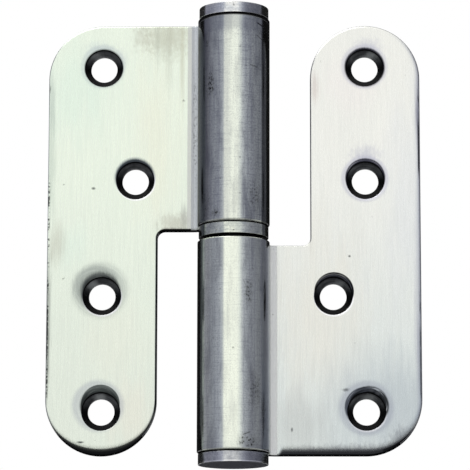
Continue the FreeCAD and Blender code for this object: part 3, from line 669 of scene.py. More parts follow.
ODD_LINE = HOLE_LINE - 8.2
FRAME_HOLES = [(HOLE_LINE, 44.0), (HOLE_LINE, -44.0), (HOLE_LINE, 14.8), (ODD_LINE, -14.8)]
FRAME_ROLLS = {
    "knuckle": (0.45, 0.3),
    "foot": (2.7, 1.55),
    "side": (1.9, 0.42),
    "end": (0.7, 0.25),
    "inner": (0.4, 0.35),
    "shoulder": (0.3, 0.3),
}
LILAC = tone(182, 182, 202)
SMUDGE = tone(128, 130, 142)
DARK_CRESCENT = tone(66, 70, 72)
HOLE_RIM_HIGHLIGHT = tone(255, 255, 255)
frame_face = leaf_face_steel(
    "frame_leaf_ground_steel", tone(244, 244, 237), tone(223, 230, 227),
    [((22, -20), (17, 34), 0.6, tone(237, 234, 222)),
     ((44, 10), (9, 42), 0.45, tone(228, 231, 234)),
     ((38, -44), (24, 22), 0.9, tone(196, 204, 207)),
     ((30, 40), (10, 12), 0.5, tone(246, 240, 236)),
     ((16, -48), (12, 11), 0.6, tone(200, 203, 200))],
    [((20.5, 39), (1.8, 6), 0.4, tone(196, 176, 170)),
     # Painted shade along the bottom edge, the lower corner and the right edge
     ((31, -54.4), (24, 3.2), 0.6, tone(132, 134, 142)),
     ((43.5, -51), (7, 4.5), 0.6, tone(110, 112, 120)),
     ((46.0, -20), (1.2, 34), 0.4, tone(190, 190, 200)),
     ((46.4, 33), (0.9, 14), 0.5, tone(182, 182, 196)),
     ((46.5, 31.5), (0.7, 7.5), 0.6, tone(146, 146, 158)),
     ((46.2, -30), (0.8, 12), 0.35, tone(160, 162, 176)),
     ((HOLE_LINE + 1, 49.5), (5, 3.5), 0.35, LILAC),
     ((HOLE_LINE, 21), (5.2, 4.2), 0.5, LILAC),
     # Painted shade: a dark line along the tab's inner side
     ((19.35, 25), (0.28, 36), 0.97, tone(74, 76, 84))],
    # White crescents: a painted highlight on the lower rims of three holes
    [((HOLE_LINE + 0.15, 14.55), 5.02, 0.12, 0.9, HOLE_RIM_HIGHLIGHT, 0.0),
     ((ODD_LINE + 0.15, -15.05), 5.02, 0.12, 0.9, HOLE_RIM_HIGHLIGHT, 0.0),
     ((HOLE_LINE + 0.1, -44.25), 5.02, 0.12, 0.7, HOLE_RIM_HIGHLIGHT, 0.0),
     ((HOLE_LINE - 0.1, 44.4), 5.4, 1.0, 0.45, LILAC, 0.3),
     ((HOLE_LINE, 44.2), 4.95, 0.5, 1.0, tone(46, 46, 56), 0.05),
     ((HOLE_LINE - 0.1, 15.2), 5.5, 1.0, 0.5, LILAC, 0.3),
     ((HOLE_LINE, 15.4), 4.95, 0.35, 1.0, tone(50, 50, 62), 0.25),
     ((HOLE_LINE, 15.5), 4.62, 0.06, 0.4, SMUDGE, 0.0),
     ((HOLE_LINE, 15.5), 4.54, 0.06, 1.0, tone(46, 46, 58), 0.1),
     ((ODD_LINE + 0.2, -13.75), 4.98, 0.10, 1.0, tone(24, 26, 30), 0.14),
     ((ODD_LINE + 0.15, -13.7), 4.50, 0.06, 0.4, SMUDGE, 0.2),
     ((ODD_LINE + 0.15, -13.7), 4.41, 0.06, 1.0, tone(24, 26, 30), 0.1),
     ((ODD_LINE + 0.1, -13.65), 4.12, 0.06, 0.35, SMUDGE, 0.2),
     ((ODD_LINE + 0.1, -13.65), 4.04, 0.06, 1.0, tone(24, 26, 30), 0.1),
     ((HOLE_LINE - 0.1, -43.2), 6.2, 1.4, 0.45, tone(150, 154, 170), 0.2),
     ((HOLE_LINE - 0.35, -43.05), 5.1, 0.25, 0.97, tone(74, 78, 88), 0.3),
     ((HOLE_LINE - 0.2, -43.0), 4.78, 0.06, 0.9, tone(56, 60, 68), 0.3),
     ((HOLE_LINE - 0.2, -43.0), 4.66, 0.06, 0.9, tone(84, 88, 98), 0.3),
     ((HOLE_LINE - 0.1, -42.9), 4.45, 0.06, 0.95, tone(50, 53, 60), 0.3),
     ((HOLE_LINE + 0.6, -42.6), 4.75, 0.5, 0.95, tone(22, 24, 27), 0.7)],
    [((HOLE_LINE + 1.2, -38.7), (1.2, 0.5), 0.98), ((HOLE_LINE + 2.8, -39.4), (1.0, 0.8), 0.95),
     ((29.1, -4.7), (0.45, 0.4), 0.8), ((27.9, -38.6), (1.4, 0.6), 0.7), ((14.5, -48.6), (0.45, 0.8), 0.8)],
    (11.2, 0.35), (0.7, 0.7, -52, 52, 130.0), 0.0,
    # Painted shade: a black line on the right rolled edge, and one at the lower corner
    [(46.3, 14.5, 32.0, 4.0, 0.08, 0.97, tone(14, 14, 18)),
     (37.0, -57.0, -37.0, 5.0, 0.33, 0.85, tone(22, 23, 26))])
frame_knuckle = knuckle_steel(
    "frame_knuckle_drawn_steel", tone(245, 250, 234), 0.72,
    # Painted shade on the flanks, then in the seam at the lower plug
    [(1.0, 43, 61, 0.8, tone(136, 138, 148), 0.0), (-1.0, 55, 59, 0.88, tone(56, 58, 64), 0.0)],
    [(-54.3, -55.0, 0.6)],
    (-51.5, -55.5, 0.2, tone(150, 152, 160)),
    [((3.6, -52.8, -8.4), (4.4, 4.0, 2.4), 1.0),
     ((7.5, -44.5, -5.0), (0.9, 3.0, 6.5), 0.8),
     ((5.4, -40.5, -7.25), (2.6, 3.0, 6.5), 0.6),
     ((3.9, -16.0, -8.2), (1.5, 2.5, 4.6), 0.8)],
    # Scratches; the last tuple is the painted fillet light, with no band shade
    [(22, -51.0, 1.2, 0.4, 0.6), (21.5, -14.6, 1.1, -2.0, 0.5), (25, -16.6, 0.9, -2.6, 0.6),
     (28, -15.4, 0.8, -1.6, 0.35)], (0.86, tone(253, 254, 255), 0.0))
sheared_edge = sheared_steel("sheared_edge_steel", tone(84, 86, 90), tone(132, 134, 138), 1.0)
underside_shade = sheared_steel("sheared_underside_steel", tone(6, 6, 7), tone(16, 17, 19), 0.0)
sink_wall = countersink_steel("countersink_dark_steel", [
    # Painted sheens on the holes' upper walls: centre, reach and share
    ((-HOLE_LINE - 2.0, 47.4), (3.0, 1.6), 0.4),
    ((-HOLE_LINE - 2.2, -11.8), (2.2, 1.7), 0.8),
    ((-HOLE_LINE - 0.3, -40.3), (2.3, 1.3), 0.8),
    ((HOLE_LINE + 1.6, 47.4), (2.2, 1.4), 0.7),
    ((ODD_LINE + 1.6, -11.5), (2.0, 1.1), 0.45),
    ((HOLE_LINE + 0.6, -40.4), (2.4, 1.2), 0.5)])

hole_section = eased_profile([
    (SINK_MOUTH, 0.0, 0),
    (SINK_RADIUS, 0.0, SINK_EDGE),
    (3.35, 1.55, 0.2),
    (3.35, SHEET, 0.15),
    (BACK_MOUTH, SHEET, 0)])
section_holder = bpy.data.objects.new("hole_half_section", hole_section)


def leaf_with_holes(name, rolls, holes, half_turn, finishes, body):
    """A leaf's skin joined to its row of countersunk holes."""
    mesh = leaf_mesh(name, rolls, holes, half_turn)
    centres = bpy.data.meshes.new(name + "_hole_centres")
    centres.from_pydata([(x * MM, LEAF_FRONT * MM, z * MM) for x, z in holes], [], [])
    holed = mesh_from_tree(name + "_holes", centres, hole_row,
                           {"Half Section": section_holder, "Segments": 72, "Finish": finishes[3]})
    holed.transform(half_turn)
    joined = bmesh.new()
    joined.from_mesh(mesh)
    plain_faces, plain_corners = len(joined.faces), len(joined.verts)
    joined.from_mesh(holed)
    joined.faces.ensure_lookup_table()
    joined.verts.ensure_lookup_table()
    rim_depth = (LEAF_FRONT + SINK_EDGE * 0.3) * MM
    for face in joined.faces[plain_faces:]:
        face.material_index = 0 if face.calc_center_median().y < rim_depth else 3
    round_hole = joined.verts.layers.float_vector.new("from_hole")
    turned_centres = [half_turn @ Vector(leaf_place(x, z)) for x, z in holes]
    for corner in joined.verts[plain_corners:]:
        nearest = min(turned_centres, key=lambda c: math.hypot(c.x - corner.co.x, c.z - corner.co.z))
        corner[round_hole] = corner.co - nearest
    joined.to_mesh(mesh)
    joined.free()
    for finish in finishes:
        mesh.materials.append(finish)
    piece = finish_piece(name, mesh, body)
    # Cut walls that look down take slot 4 too: painted shade under the leaf
    for face in piece.data.polygons:
        if face.material_index == 2 and face.normal.z < -0.6:
            face.material_index = 4
    return piece


leaf_with_holes("frame_leaf", FRAME_ROLLS, FRAME_HOLES, Matrix.Identity(4),
                [frame_face, frame_knuckle, sheared_edge, sink_wall, underside_shade], "frame")

# HINGE PIN
# A turned steel pin pressed into the frame leaf's knuckle. Its upper half stands free, greased and
# bright, with a tapered lead that finds the door leaf's knuckle when the door is hung.


def turned_steel(name, clean, dull, roughness, rings=3800.0, seam=None, painted_band=None, sides=()):
    """Lathe turned steel: fine rings and dull blotches, and where given, a black seam of painted shade, a painted
    highlight band on an edge, and painted shade on a flank.
    """
    made, tree, shader, place = steel(name, roughness)
    axes = put(tree, "ShaderNodeSeparateXYZ", {0: place}).outputs
    flat = put(tree, "ShaderNodeVectorMath", {0: place, 1: (1.0, 1.0, 0.0)}, operation="MULTIPLY").outputs[0]
    radius = put(tree, "ShaderNodeVectorMath", {0: flat}, operation="LENGTH").outputs["Value"]
    out = sums(tree, "ADD", axes["Z"], radius)
    cut = put(tree, "ShaderNodeCombineXYZ", {"X": sums(tree, "MULTIPLY", axes["X"], 90.0), "Y": sums(tree, "MULTIPLY", axes["Y"], 90.0),
                                            "Z": sums(tree, "MULTIPLY", out, rings)}).outputs[0]
    ring_marks = put(tree, "ShaderNodeTexNoise", {"Vector": cut, "Scale": 1.0, "Detail": 3.0}).outputs["Fac"]
    fine = put(tree, "ShaderNodeTexNoise", {"Vector": place, "Scale": 2300.0, "Detail": 3.0, "Roughness": 0.7}).outputs["Fac"]
    blotch = put(tree, "ShaderNodeTexNoise", {"Vector": place, "Scale": 420.0, "Detail": 3.0, "Roughness": 0.6}).outputs["Fac"]
    colour = blend_colour(tree, map_to(tree, blotch, 0.35, 0.65, 0.0, 1.0), clean, dull)
    colour = blend_colour(tree, map_to(tree, ring_marks, 0.4, 0.75, 0.0, 0.28), colour, tone(110, 112, 118))
    colour = blend_colour(tree, map_to(tree, fine, 0.35, 0.8, 0.0, 0.42), colour, tone(112, 116, 124))
    pits = place_group(tree, pitting, {"Place": place, "Fineness": 700.0, "Size": 0.2, "Share": 0.16})["Mask"]
    colour = blend_colour(tree, sums(tree, "MULTIPLY", pits, 0.6), colour, tone(44, 46, 52))
    around = sums(tree, "ARCTAN2", axes["X"], sums(tree, "MULTIPLY", axes["Y"], -1.0))
    # Painted shade on a flank between given turns, fading towards the back
    for turn_way, start, end, share in sides:
        turned_to = sums(tree, "MULTIPLY", around, turn_way)
        side_shade = sums(tree, "MULTIPLY", map_to(tree, turned_to, math.radians(start), math.radians(end), 0.0, share),
                      map_to(tree, turned_to, math.radians(88), math.radians(104), 1.0, 0.0))
        colour = blend_colour(tree, side_shade, colour, tone(64, 66, 74))
    # Painted highlight: a white band on the rounded edge of the end
    if painted_band:
        edge = sums(tree, "ABSOLUTE", axes["Z"])
        edge_highlight = sums(tree, "MULTIPLY", map_to(tree, edge, painted_band[0] * MM, (painted_band[0] + 0.06) * MM, 0.0, 1.0),
                        map_to(tree, edge, painted_band[1] * MM, (painted_band[1] - 0.06) * MM, 0.0, painted_band[2]))
        colour = blend_colour(tree, edge_highlight, colour, tone(255, 255, 252))
    # Painted shade: black on the seam and the narrower parts inside it
    if seam:
        seam_shade = map_to(tree, radius, (seam + 0.15) * MM, seam * MM, 0.0, 1.0)
        colour = blend_colour(tree, seam_shade, colour, tone(12, 12, 13))
    tree.links.new(colour, shader.inputs["Base Color"])
    wear_and_sheens = map_to(tree, blotch, 0.3, 0.7, roughness - 0.03, roughness + 0.06)
    tree.links.new(sums(tree, "ADD", wear_and_sheens, sums(tree, "MULTIPLY", pits, 0.3)), shader.inputs["Roughness"])
    bump = put(tree, "ShaderNodeBump", {"Strength": 0.14, "Distance": 0.00002, "Height": sums(tree, "SUBTRACT", ring_marks, pits)}).outputs[0]
    tree.links.new(bump, shader.inputs["Normal"])
    return made


def end_steel(name, shade, roughness, shine=1.0):
    """Flat end left by the parting tool: dull, with rings round the axis; an end given less shine stays dark, as
    painted shade.
    """
    made, tree, shader, place = steel(name, roughness)
    shader.inputs["Metallic"].default_value = shine
    shader.inputs["Specular IOR Level"].default_value = 0.5 * shine
    flat = put(tree, "ShaderNodeVectorMath", {0: place, 1: (1.0, 1.0, 0.0)}, operation="MULTIPLY").outputs[0]
    radius = put(tree, "ShaderNodeVectorMath", {0: flat}, operation="LENGTH").outputs["Value"]
    parts = put(tree, "ShaderNodeSeparateXYZ", {0: place}).outputs
    cut = put(tree, "ShaderNodeCombineXYZ", {"X": sums(tree, "MULTIPLY", parts["X"], 70.0), "Y": sums(tree, "MULTIPLY", parts["Y"], 70.0),
                                            "Z": sums(tree, "MULTIPLY", radius, 3600.0)}).outputs[0]
    rings = put(tree, "ShaderNodeTexNoise", {"Vector": cut, "Scale": 1.0, "Detail": 3.0}).outputs["Fac"]
    darker = tuple(c * 0.6 for c in shade[:3]) + (1.0,)
    colour = blend_colour(tree, map_to(tree, rings, 0.35, 0.7, 0.0, 1.0), shade, darker)
    tree.links.new(colour, shader.inputs["Base Color"])
    bump = put(tree, "ShaderNodeBump", {"Strength": 0.3, "Distance": 0.00004, "Height": rings}).outputs[0]
    tree.links.new(bump, shader.inputs["Normal"])
    return made


turned_piece, entry, leave = new_group(
    "GeometryNodeTree", "turned_piece",
    [("Half Section", "NodeSocketGeometry"), ("Segments", "NodeSocketInt"), ("Finish", "NodeSocketMaterial")],
    [("Piece", "NodeSocketGeometry")])
lathe = put(turned_piece, "GeometryNodeGroup", node_tree=turned_form)
turned_piece.links.new(entry["Half Section"], lathe.inputs["Half Section"])
turned_piece.links.new(entry["Segments"], lathe.inputs["Segments"])
real = put(turned_piece, "GeometryNodeRealizeInstances", {"Geometry": lathe.outputs[0]}).outputs[0]
finished = put(turned_piece, "GeometryNodeSetMaterial", {"Geometry": real, "Material": entry["Finish"]}).outputs[0]
turned_piece.links.new(finished, leave["Piece"])


def turn_piece(name, corners, finish, end_finish, body, half_turn=Matrix.Identity(4)):
    """A turned piece from its half section, on its body, its flat ends left as parted off."""
    mesh = mesh_from_tree(name, eased_profile(corners), turned_piece, {"Segments": 160, "Finish": finish})
    mesh.transform(half_turn)
    mesh.materials.clear()
    mesh.materials.append(finish)
    mesh.materials.append(end_finish)
    for face in mesh.polygons:
        face.material_index = 1 if abs(face.normal.z) > 0.97 else 0
    return finish_piece(name, mesh, body)


pin_steel = turned_steel("bright_pin_steel", tone(228, 230, 230), tone(205, 208, 212), 0.16)
pin_end_steel = end_steel("pin_end_steel", tone(150, 152, 156), 0.4)
turn_piece("hinge_pin", [
    (0.0, -49.0, 0),
    (BORE, -49.0, 0.4),
    (BORE, -HALF_GAP, 0.02),
    (6.0, -HALF_GAP, 0.0),
    (6.0, 40.5, 0.8),
    (5.0, 43.0, 0.6),
    (0.0, 43.0, 0)], pin_steel, pin_end_steel, "frame")

# BEARING RING
# A turned steel ring that slips over the pin and carries the door leaf. Its foot is turned down, which leaves the
# groove between the two knuckles, made dark by painted shade.
CAP_RADIUS = 8.75
SEAM_RADIUS = 7.9
# Painted shade on the seam and on both flanks
ring_steel = turned_steel(
    "bearing_ring_turned_steel", tone(246, 250, 232), tone(212, 218, 208), 0.15,
    seam=SEAM_RADIUS, sides=[(-1.0, 51, 57, 0.97), (1.0, 53, 57, 0.85)])
# The ring's flat faces, in the groove and under the knuckles, near black: painted shade
ring_end_steel = end_steel("ring_face_steel", tone(14, 15, 16), 0.5)
turn_piece("bearing_ring", [
    (BORE + 0.02, 0.5, 0),
    (BORE + 0.02, -HALF_GAP, 0.1),
    (7.4, -HALF_GAP, 0.1),
    (7.4, -1.1, 0.08),
    (CAP_RADIUS, -1.1, 0.12),
    (CAP_RADIUS, 1.72, 0.08),
    (SEAM_RADIUS - 0.3, 1.72, 0.05),
    (SEAM_RADIUS - 0.3, HALF_GAP, 0.05),
    (BORE + 0.02, HALF_GAP, 0.1),
    (BORE + 0.02, 0.5, 0)], ring_steel, ring_end_steel, "ring")

# DOOR LEAF
# The leaf screwed to the door: the same blank turned end for end, so its knuckle is the upper one.
# Its face is a little greener and yellower, its knuckle, with more wear and more painted shade on its flanks, darker
# than the frame leaf's.
DOOR_TURN = Matrix.Rotation(math.pi, 4, "Y")
DOOR_HOLES = FRAME_HOLES
DOOR_ROLLS = {
    "knuckle": (0.3, 0.3),
    "foot": (0.5, 0.25),
    "side": (0.4, 0.14),
    "end": (2.5, 1.7),
    "inner": (0.65, 0.5),
    "shoulder": (0.6, 0.5),
}
door_face = leaf_face_steel(
    "door_leaf_ground_steel", tone(238, 247, 231), tone(231, 238, 225),
    [((-40, 38), (14, 18), 0.6, tone(226, 243, 228)),
     ((-20, 25), (9, 34), 0.65, tone(241, 243, 223)),
     ((-30, -25), (12, 16), 0.4, tone(238, 240, 224)),
     ((-26, -45), (9, 13), 0.5, tone(238, 234, 219)),
     ((-41, -2), (6, 9), 0.5, tone(228, 244, 230))],
    [((-17.0, 52.5), (10.5, 8.5), 0.6, tone(190, 190, 170)),
     ((-13.2, 46), (0.9, 16), 0.4, tone(190, 186, 160)),
     ((-16.6, 48), (1.5, 14), 0.28, tone(176, 178, 162)),
     ((-19.6, 51), (1.0, 12), 0.25, tone(172, 178, 166)),
     ((-23.6, 52.5), (3.4, 5.5), 0.3, tone(188, 186, 170)),
     ((-14.8, 3.9), (5.8, 3.8), 0.5, tone(176, 170, 156)),
     ((-12.6, 5.1), (1.5, 5), 0.45, tone(150, 148, 146)),
     ((-44.6, -1.5), (3.2, 7.5), 0.4, tone(184, 180, 164)),
     # Painted shade along the left edge, at the shoulder and along the tab's inner side
     ((-46.3, 20), (1.6, 22), 0.45, tone(182, 196, 184)),
     ((-46.4, 36), (1.3, 12), 0.45, tone(178, 190, 182)),
     ((-47.3, -24), (1.8, 31), 0.75, tone(76, 80, 80)),
     ((-15, 2.2), (5.5, 0.9), 0.6, tone(150, 146, 140)),
     ((-19.4, -28), (0.32, 40), 0.97, tone(84, 88, 84)),
     ((-HOLE_LINE - 1, 48.6), (6, 3.4), 0.3, tone(186, 196, 206)),
     ((-HOLE_LINE + 4.5, 46), (2.2, 4), 0.3, tone(190, 196, 206))],
    # White crescents: a painted highlight on the lower rims of two holes
    [((-ODD_LINE + 0.15, 14.55), 5.0, 0.12, 0.8, HOLE_RIM_HIGHLIGHT, 0.0),
     ((-HOLE_LINE + 0.1, -15.05), 5.02, 0.12, 0.9, HOLE_RIM_HIGHLIGHT, 0.0),
     ((-HOLE_LINE - 0.2, 44.4), 5.3, 0.9, 0.3, tone(160, 170, 184), 0.2),
     ((-HOLE_LINE, 44.1), 4.95, 0.3, 0.6, DARK_CRESCENT, 0.1),
     ((-ODD_LINE - 0.1, 15.6), 4.75, 0.8, 0.7, tone(86, 96, 110), 0.1),
     ((-ODD_LINE - 0.1, 15.45), 4.7, 0.4, 0.98, tone(42, 48, 56), 0.05),
     ((-HOLE_LINE - 0.5, -13.3), 5.6, 2.6, 0.44, tone(134, 142, 142), 0.3),
     ((-HOLE_LINE - 1.5, -12.7), 4.9, 1.8, 0.35, tone(110, 118, 118), 0.4),
     ((-HOLE_LINE - 0.45, -13.6), 4.3, 1.4, 0.92, tone(58, 62, 64), 0.12),
     ((-HOLE_LINE - 0.1, -13.8), 4.3, 0.8, 0.7, tone(28, 30, 32), 0.8),
     ((-HOLE_LINE - 0.7, -42.6), 5.9, 1.3, 0.4, tone(150, 154, 172), 0.2),
     ((-HOLE_LINE - 0.1, -42.1), 4.85, 0.10, 1.0, tone(80, 86, 85), 0.12),
     ((-HOLE_LINE - 0.4, -42.5), 4.7, 0.5, 0.55, tone(52, 57, 57), 0.95),
     ((-HOLE_LINE - 0.2, -43.0), 4.75, 0.3, 0.8, tone(36, 39, 39), 0.5)],
    [((-35.5, 12.8), (0.7, 0.5), 0.8), ((-38.2, -51.7), (1.3, 0.35), 0.95), ((-47.0, 38.5), (0.7, 1.6), 0.7)],
    (11.95, 0.8), (0.72, 0.88, -38, 12, 1300.0), 0.97,
    # Painted shade on edges below the front face in the upper part, and a line down the left edge
    [(10.0, 28.0, 54.0, 6.0, 0.02, 0.6, tone(52, 56, 56)),
     (45.4, 35.0, 49.0, 3.0, 0.015, 0.85, tone(44, 48, 48))])
door_knuckle = knuckle_steel(
    "door_knuckle_drawn_steel", tone(246, 251, 235), 1.0,
    # Painted shade on both flanks; the darkest also loses its shine
    [(-1.0, 0, 10, 0.33, tone(150, 152, 160), 0.0), (-1.0, 36, 56, 0.94, tone(78, 80, 90), 0.0),
     (1.0, 49, 54, 0.88, tone(56, 58, 64), 0.0), (-1.0, 64, 76, 0.92, tone(22, 22, 26), 0.55)],
    # Painted shade in the seams at the ring and under the cap
    [(2.9, 1.9, 0.5), (54.35, 54.75, 1.0)],
    (49.6, 51.6, 0.42, tone(150, 154, 160)),
    [((-5.8, 37.2, -7.0), (1.5, 2.5, 5.2), 1.0),
     ((5.4, 8.6, -7.25), (3.2, 3.0, 5.4), 0.6),
     ((-7.1, 6.0, -5.6), (2.8, 3.0, 5.6), 0.6),
     ((-4.2, 4.0, -8.0), (1.8, 2.0, 1.6), 1.0),
     ((-6.6, 47.5, -6.1), (0.6, 2.0, 1.6), 0.6),
     ((6.9, 50.5, -5.9), (1.2, 2.0, 1.6), 0.5),
     ((-9.9, 28.0, 3.9), (1.1, 3.0, 27.0), 0.5)],
    [(49, 52.5, 1.5, -0.32, 0.9), (34.6, 41.6, 1.5, -0.2, 0.45), (46, 49.2, 1.2, -0.5, 0.5)],
    # Painted light on the fillet, and painted shade on the band beside it
    (0.35, tone(232, 236, 238), 0.4))
leaf_with_holes("door_leaf", DOOR_ROLLS, DOOR_HOLES, DOOR_TURN,
                [door_face, door_knuckle, sheared_edge, sink_wall, underside_shade], "door")

# PLUGS
# Two turned steel plugs pressed into the open ends of the knuckles. Each head is as wide as the ring and seats on a
# narrow land, which leaves a line under it, made dark by painted shade.
PLUG = [
    (0.0, 49.0, 0),
    (BORE, 49.0, 0.3),
    (BORE, HALF_HEIGHT, 0.05),
    (SEAM_RADIUS - 0.3, HALF_HEIGHT, 0.05),
    (SEAM_RADIUS - 0.3, HALF_HEIGHT + 0.28, 0.05),
    (CAP_RADIUS, HALF_HEIGHT + 0.28, 0.14),
    (CAP_RADIUS, 58.0, 0.15),
    (0.0, 58.0, 0)]
# Painted shade on the seam and a flank; the lower plug also has a painted highlight on its end's edge
upper_plug_steel = turned_steel(
    "upper_plug_turned_steel", tone(255, 255, 249), tone(226, 230, 232), 0.17, seam=SEAM_RADIUS,
    sides=[(1.0, 6, 22, 0.44)])
lower_plug_steel = turned_steel(
    "lower_plug_turned_steel", tone(214, 216, 216), tone(176, 178, 182), 0.2,
    seam=SEAM_RADIUS, painted_band=(57.55, 57.8, 0.9), sides=[(1.0, 2, 8, 0.22)])
upper_plug_end = end_steel("upper_plug_end_steel", tone(170, 172, 176), 0.4)
# The lower plug's downward end, dark and without shine: painted shade
lower_plug_end = end_steel("lower_plug_end_steel", tone(70, 71, 76), 0.75, 0.0)
turn_piece("upper_plug", PLUG, upper_plug_steel, upper_plug_end, "door")
turn_piece("lower_plug", PLUG, lower_plug_steel, lower_plug_end, "frame", Matrix.Rotation(math.pi, 4, "X"))

# STUDIO
# Pale floor well below the hinge, which its frame screws hold in the air. Grey walls at the sides,
# seen only as reflections, give the round steel its dark flanks between the white front and back.
FLOOR_Z = -0.30


def stage_piece(name, points, faces, material, camera_sees):
    """A plain piece of the studio."""
    mesh = bpy.data.meshes.new(name)
    mesh.from_pydata(points, [], faces)
    mesh.materials.append(material)
    piece = bpy.data.objects.new(name, mesh)
    bpy.context.scene.collection.objects.link(piece)
    if not camera_sees:
        piece.visible_camera = False
        piece.visible_diffuse = False
        piece.visible_transmission = False
        piece.visible_volume_scatter = False
        piece.visible_shadow = False
    return piece


floor_paint = bpy.data.materials.new("pale_floor_paint")
floor_paint.use_nodes = True
floor_tree = floor_paint.node_tree
floor_shader = next(n for n in floor_tree.nodes if n.type == "BSDF_PRINCIPLED")
floor_noise = put(floor_tree, "ShaderNodeTexNoise", {"Vector": put(floor_tree, "ShaderNodeTexCoord").outputs["Object"], "Scale": 14.0, "Detail": 4.0}).outputs["Fac"]
floor_tree.links.new(blend_colour(floor_tree, floor_noise, (0.84, 0.84, 0.83, 1), (0.88, 0.88, 0.87, 1)), floor_shader.inputs["Base Color"])
floor_shader.inputs["Roughness"].default_value = 0.8
stage_piece("studio_floor", [(-4, -4, FLOOR_Z), (4, -4, FLOOR_Z), (4, 4, FLOOR_Z), (-4, 4, FLOOR_Z)], [(0, 1, 2, 3)], floor_paint, True)


def wall_material(name, stops):
    """A studio wall whose light depends on the direction it stands in, given in degrees."""
    made = bpy.data.materials.new(name)
    made.use_nodes = True
    tree = made.node_tree
    tree.nodes.clear()
    axes = put(tree, "ShaderNodeSeparateXYZ", {0: put(tree, "ShaderNodeTexCoord").outputs["Object"]}).outputs
    around = sums(tree, "ARCTAN2", axes["X"], sums(tree, "MULTIPLY", axes["Y"], -1.0))
    share = put(tree, "ShaderNodeMapRange", {"Value": around, "From Min": -math.pi, "From Max": math.pi}).outputs[0]
    ramp = put(tree, "ShaderNodeValToRGB", {0: share})
    while len(ramp.color_ramp.elements) < len(stops):
        ramp.color_ramp.elements.new(0.5)
    for element, (degrees, light) in zip(ramp.color_ramp.elements, stops):
        element.position = (degrees + 180) / 360
        element.color = tuple(light) + (1.0,)
    glow = put(tree, "ShaderNodeEmission", {"Color": ramp.outputs[0], "Strength": 1.0}).outputs[0]
    put(tree, "ShaderNodeOutputMaterial", {"Surface": glow})
    return made


WALL_STOPS = [
    (-180, (0.40, 0.40, 0.40)),
    (-168, (0.02, 0.02, 0.02)),
    (-112, (0.02, 0.02, 0.02)),
    (-108, (0.31, 0.31, 0.38)),
    (-90, (0.25, 0.25, 0.31)),
    (-67, (0.31, 0.32, 0.39)),
    (-46, (0.40, 0.41, 0.50)),
    (-32, (0.54, 0.56, 0.66)),
    (-30, (1.0, 1.0, 1.0)),
    (13, (1.0, 1.0, 1.0)),
    (22, (0.79, 0.81, 0.86)),
    (31, (0.50, 0.51, 0.60)),
    (42, (0.36, 0.37, 0.45)),
    (60, (0.26, 0.265, 0.33)),
    (90, (0.20, 0.205, 0.25)),
    (103, (0.22, 0.225, 0.28)),
    (106, (0.02, 0.02, 0.02)),
    (168, (0.02, 0.02, 0.02)),
    (180, (0.40, 0.40, 0.40))]
wall_paint = wall_material("studio_wall_grey", WALL_STOPS)
wall_points = []
wall_faces = []
for i in range(181):
    turn = math.radians(-180 + 2 * i)
    for height in (FLOOR_Z + 0.01, 1.3):
        wall_points.append((1.7 * math.sin(turn), -1.7 * math.cos(turn), height))
for i in range(180):
    wall_faces.append((2 * i, 2 * i + 1, 2 * i + 3, 2 * i + 2))
stage_piece("studio_walls", wall_points, wall_faces, wall_paint, False)

ceiling_cloth = bpy.data.materials.new("grey_ceiling_cloth")
ceiling_cloth.use_nodes = True
ceiling_cloth.node_tree.nodes.clear()
ceiling_glow = put(ceiling_cloth.node_tree, "ShaderNodeEmission", {"Color": (0.6, 0.6, 0.61, 1), "Strength": 1.0}).outputs[0]
put(ceiling_cloth.node_tree, "ShaderNodeOutputMaterial", {"Surface": ceiling_glow})
ceiling_points = [(0.8 * math.cos(math.radians(5 * i)), 0.8 * math.sin(math.radians(5 * i)), 1.3) for i in range(72)]
stage_piece("grey_ceiling", ceiling_points, [tuple(range(72))], ceiling_cloth, False)

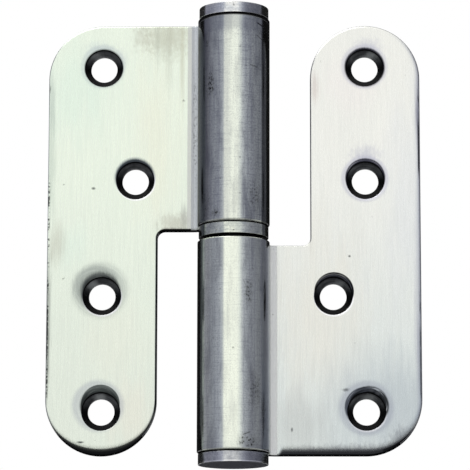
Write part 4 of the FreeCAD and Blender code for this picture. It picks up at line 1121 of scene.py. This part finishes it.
table_cloth = bpy.data.materials.new("grey_table_cloth")
table_cloth.use_nodes = True
table_cloth.node_tree.nodes.clear()
cloth_glow = put(table_cloth.node_tree, "ShaderNodeEmission", {"Color": (0.16, 0.16, 0.17, 1), "Strength": 1.0}).outputs[0]
put(table_cloth.node_tree, "ShaderNodeOutputMaterial", {"Surface": cloth_glow})
cloth_points = [(0.36 * math.cos(math.radians(5 * i)), 0.36 * math.sin(math.radians(5 * i)), -0.2) for i in range(72)]
stage_piece("grey_table", cloth_points, [tuple(range(72))], table_cloth, False)

world = bpy.data.worlds.new("white_studio")
bpy.context.scene.world = world
world.use_nodes = True
air = world.node_tree
air.nodes.clear()
path = put(air, "ShaderNodeLightPath").outputs
seen = sums(air, "MAXIMUM", sums(air, "MAXIMUM", path["Is Camera Ray"], path["Is Glossy Ray"]), path["Is Transmission Ray"])
shown = put(air, "ShaderNodeBackground", {"Color": (1, 1, 1, 1), "Strength": 1.0}).outputs[0]
lit = put(air, "ShaderNodeBackground", {"Color": (1, 1, 1, 1), "Strength": 0.6}).outputs[0]
both = put(air, "ShaderNodeMixShader", {0: seen, 1: lit, 2: shown}).outputs[0]
put(air, "ShaderNodeOutputWorld", {"Surface": both})

lamp_data = bpy.data.lights.new("soft_overhead", "AREA")
lamp_data.shape = "RECTANGLE"
lamp_data.size = 1.2
lamp_data.size_y = 0.9
lamp_data.energy = 8.0
lamp = bpy.data.objects.new("soft_overhead", lamp_data)
lamp.location = (-0.5, -0.6, 1.25)
lamp.rotation_euler = (Vector((0, 0, 0)) - lamp.location).to_track_quat("-Z", "Y").to_euler()
bpy.context.scene.collection.objects.link(lamp)

# Camera below the middle of the hinge, looking slightly up at it, as the round ends show
FOCAL_PIXELS = 3034.1
DISTANCE = 0.760055
RISE = math.radians(10.5526)
YAW = math.radians(-0.9381)
ROLL = math.radians(0.0964)
aim = Vector((0.0003525, 0.0, -0.0001358))
ahead = Vector((math.sin(YAW) * math.cos(RISE), math.cos(YAW) * math.cos(RISE), math.sin(RISE)))
camera_data = bpy.data.cameras.new("camera")
camera_data.lens = FOCAL_PIXELS / 470 * 36
camera_data.sensor_width = 36
camera_data.clip_start = 0.01
camera = bpy.data.objects.new("camera", camera_data)
camera.location = aim - ahead * DISTANCE
level = ahead.to_track_quat("-Z", "Y").to_matrix()
camera.rotation_euler = (level @ Matrix.Rotation(ROLL, 3, "Z")).to_euler()
bpy.context.scene.collection.objects.link(camera)
bpy.context.scene.camera = camera
bpy.context.scene.view_settings.view_transform = "Standard"
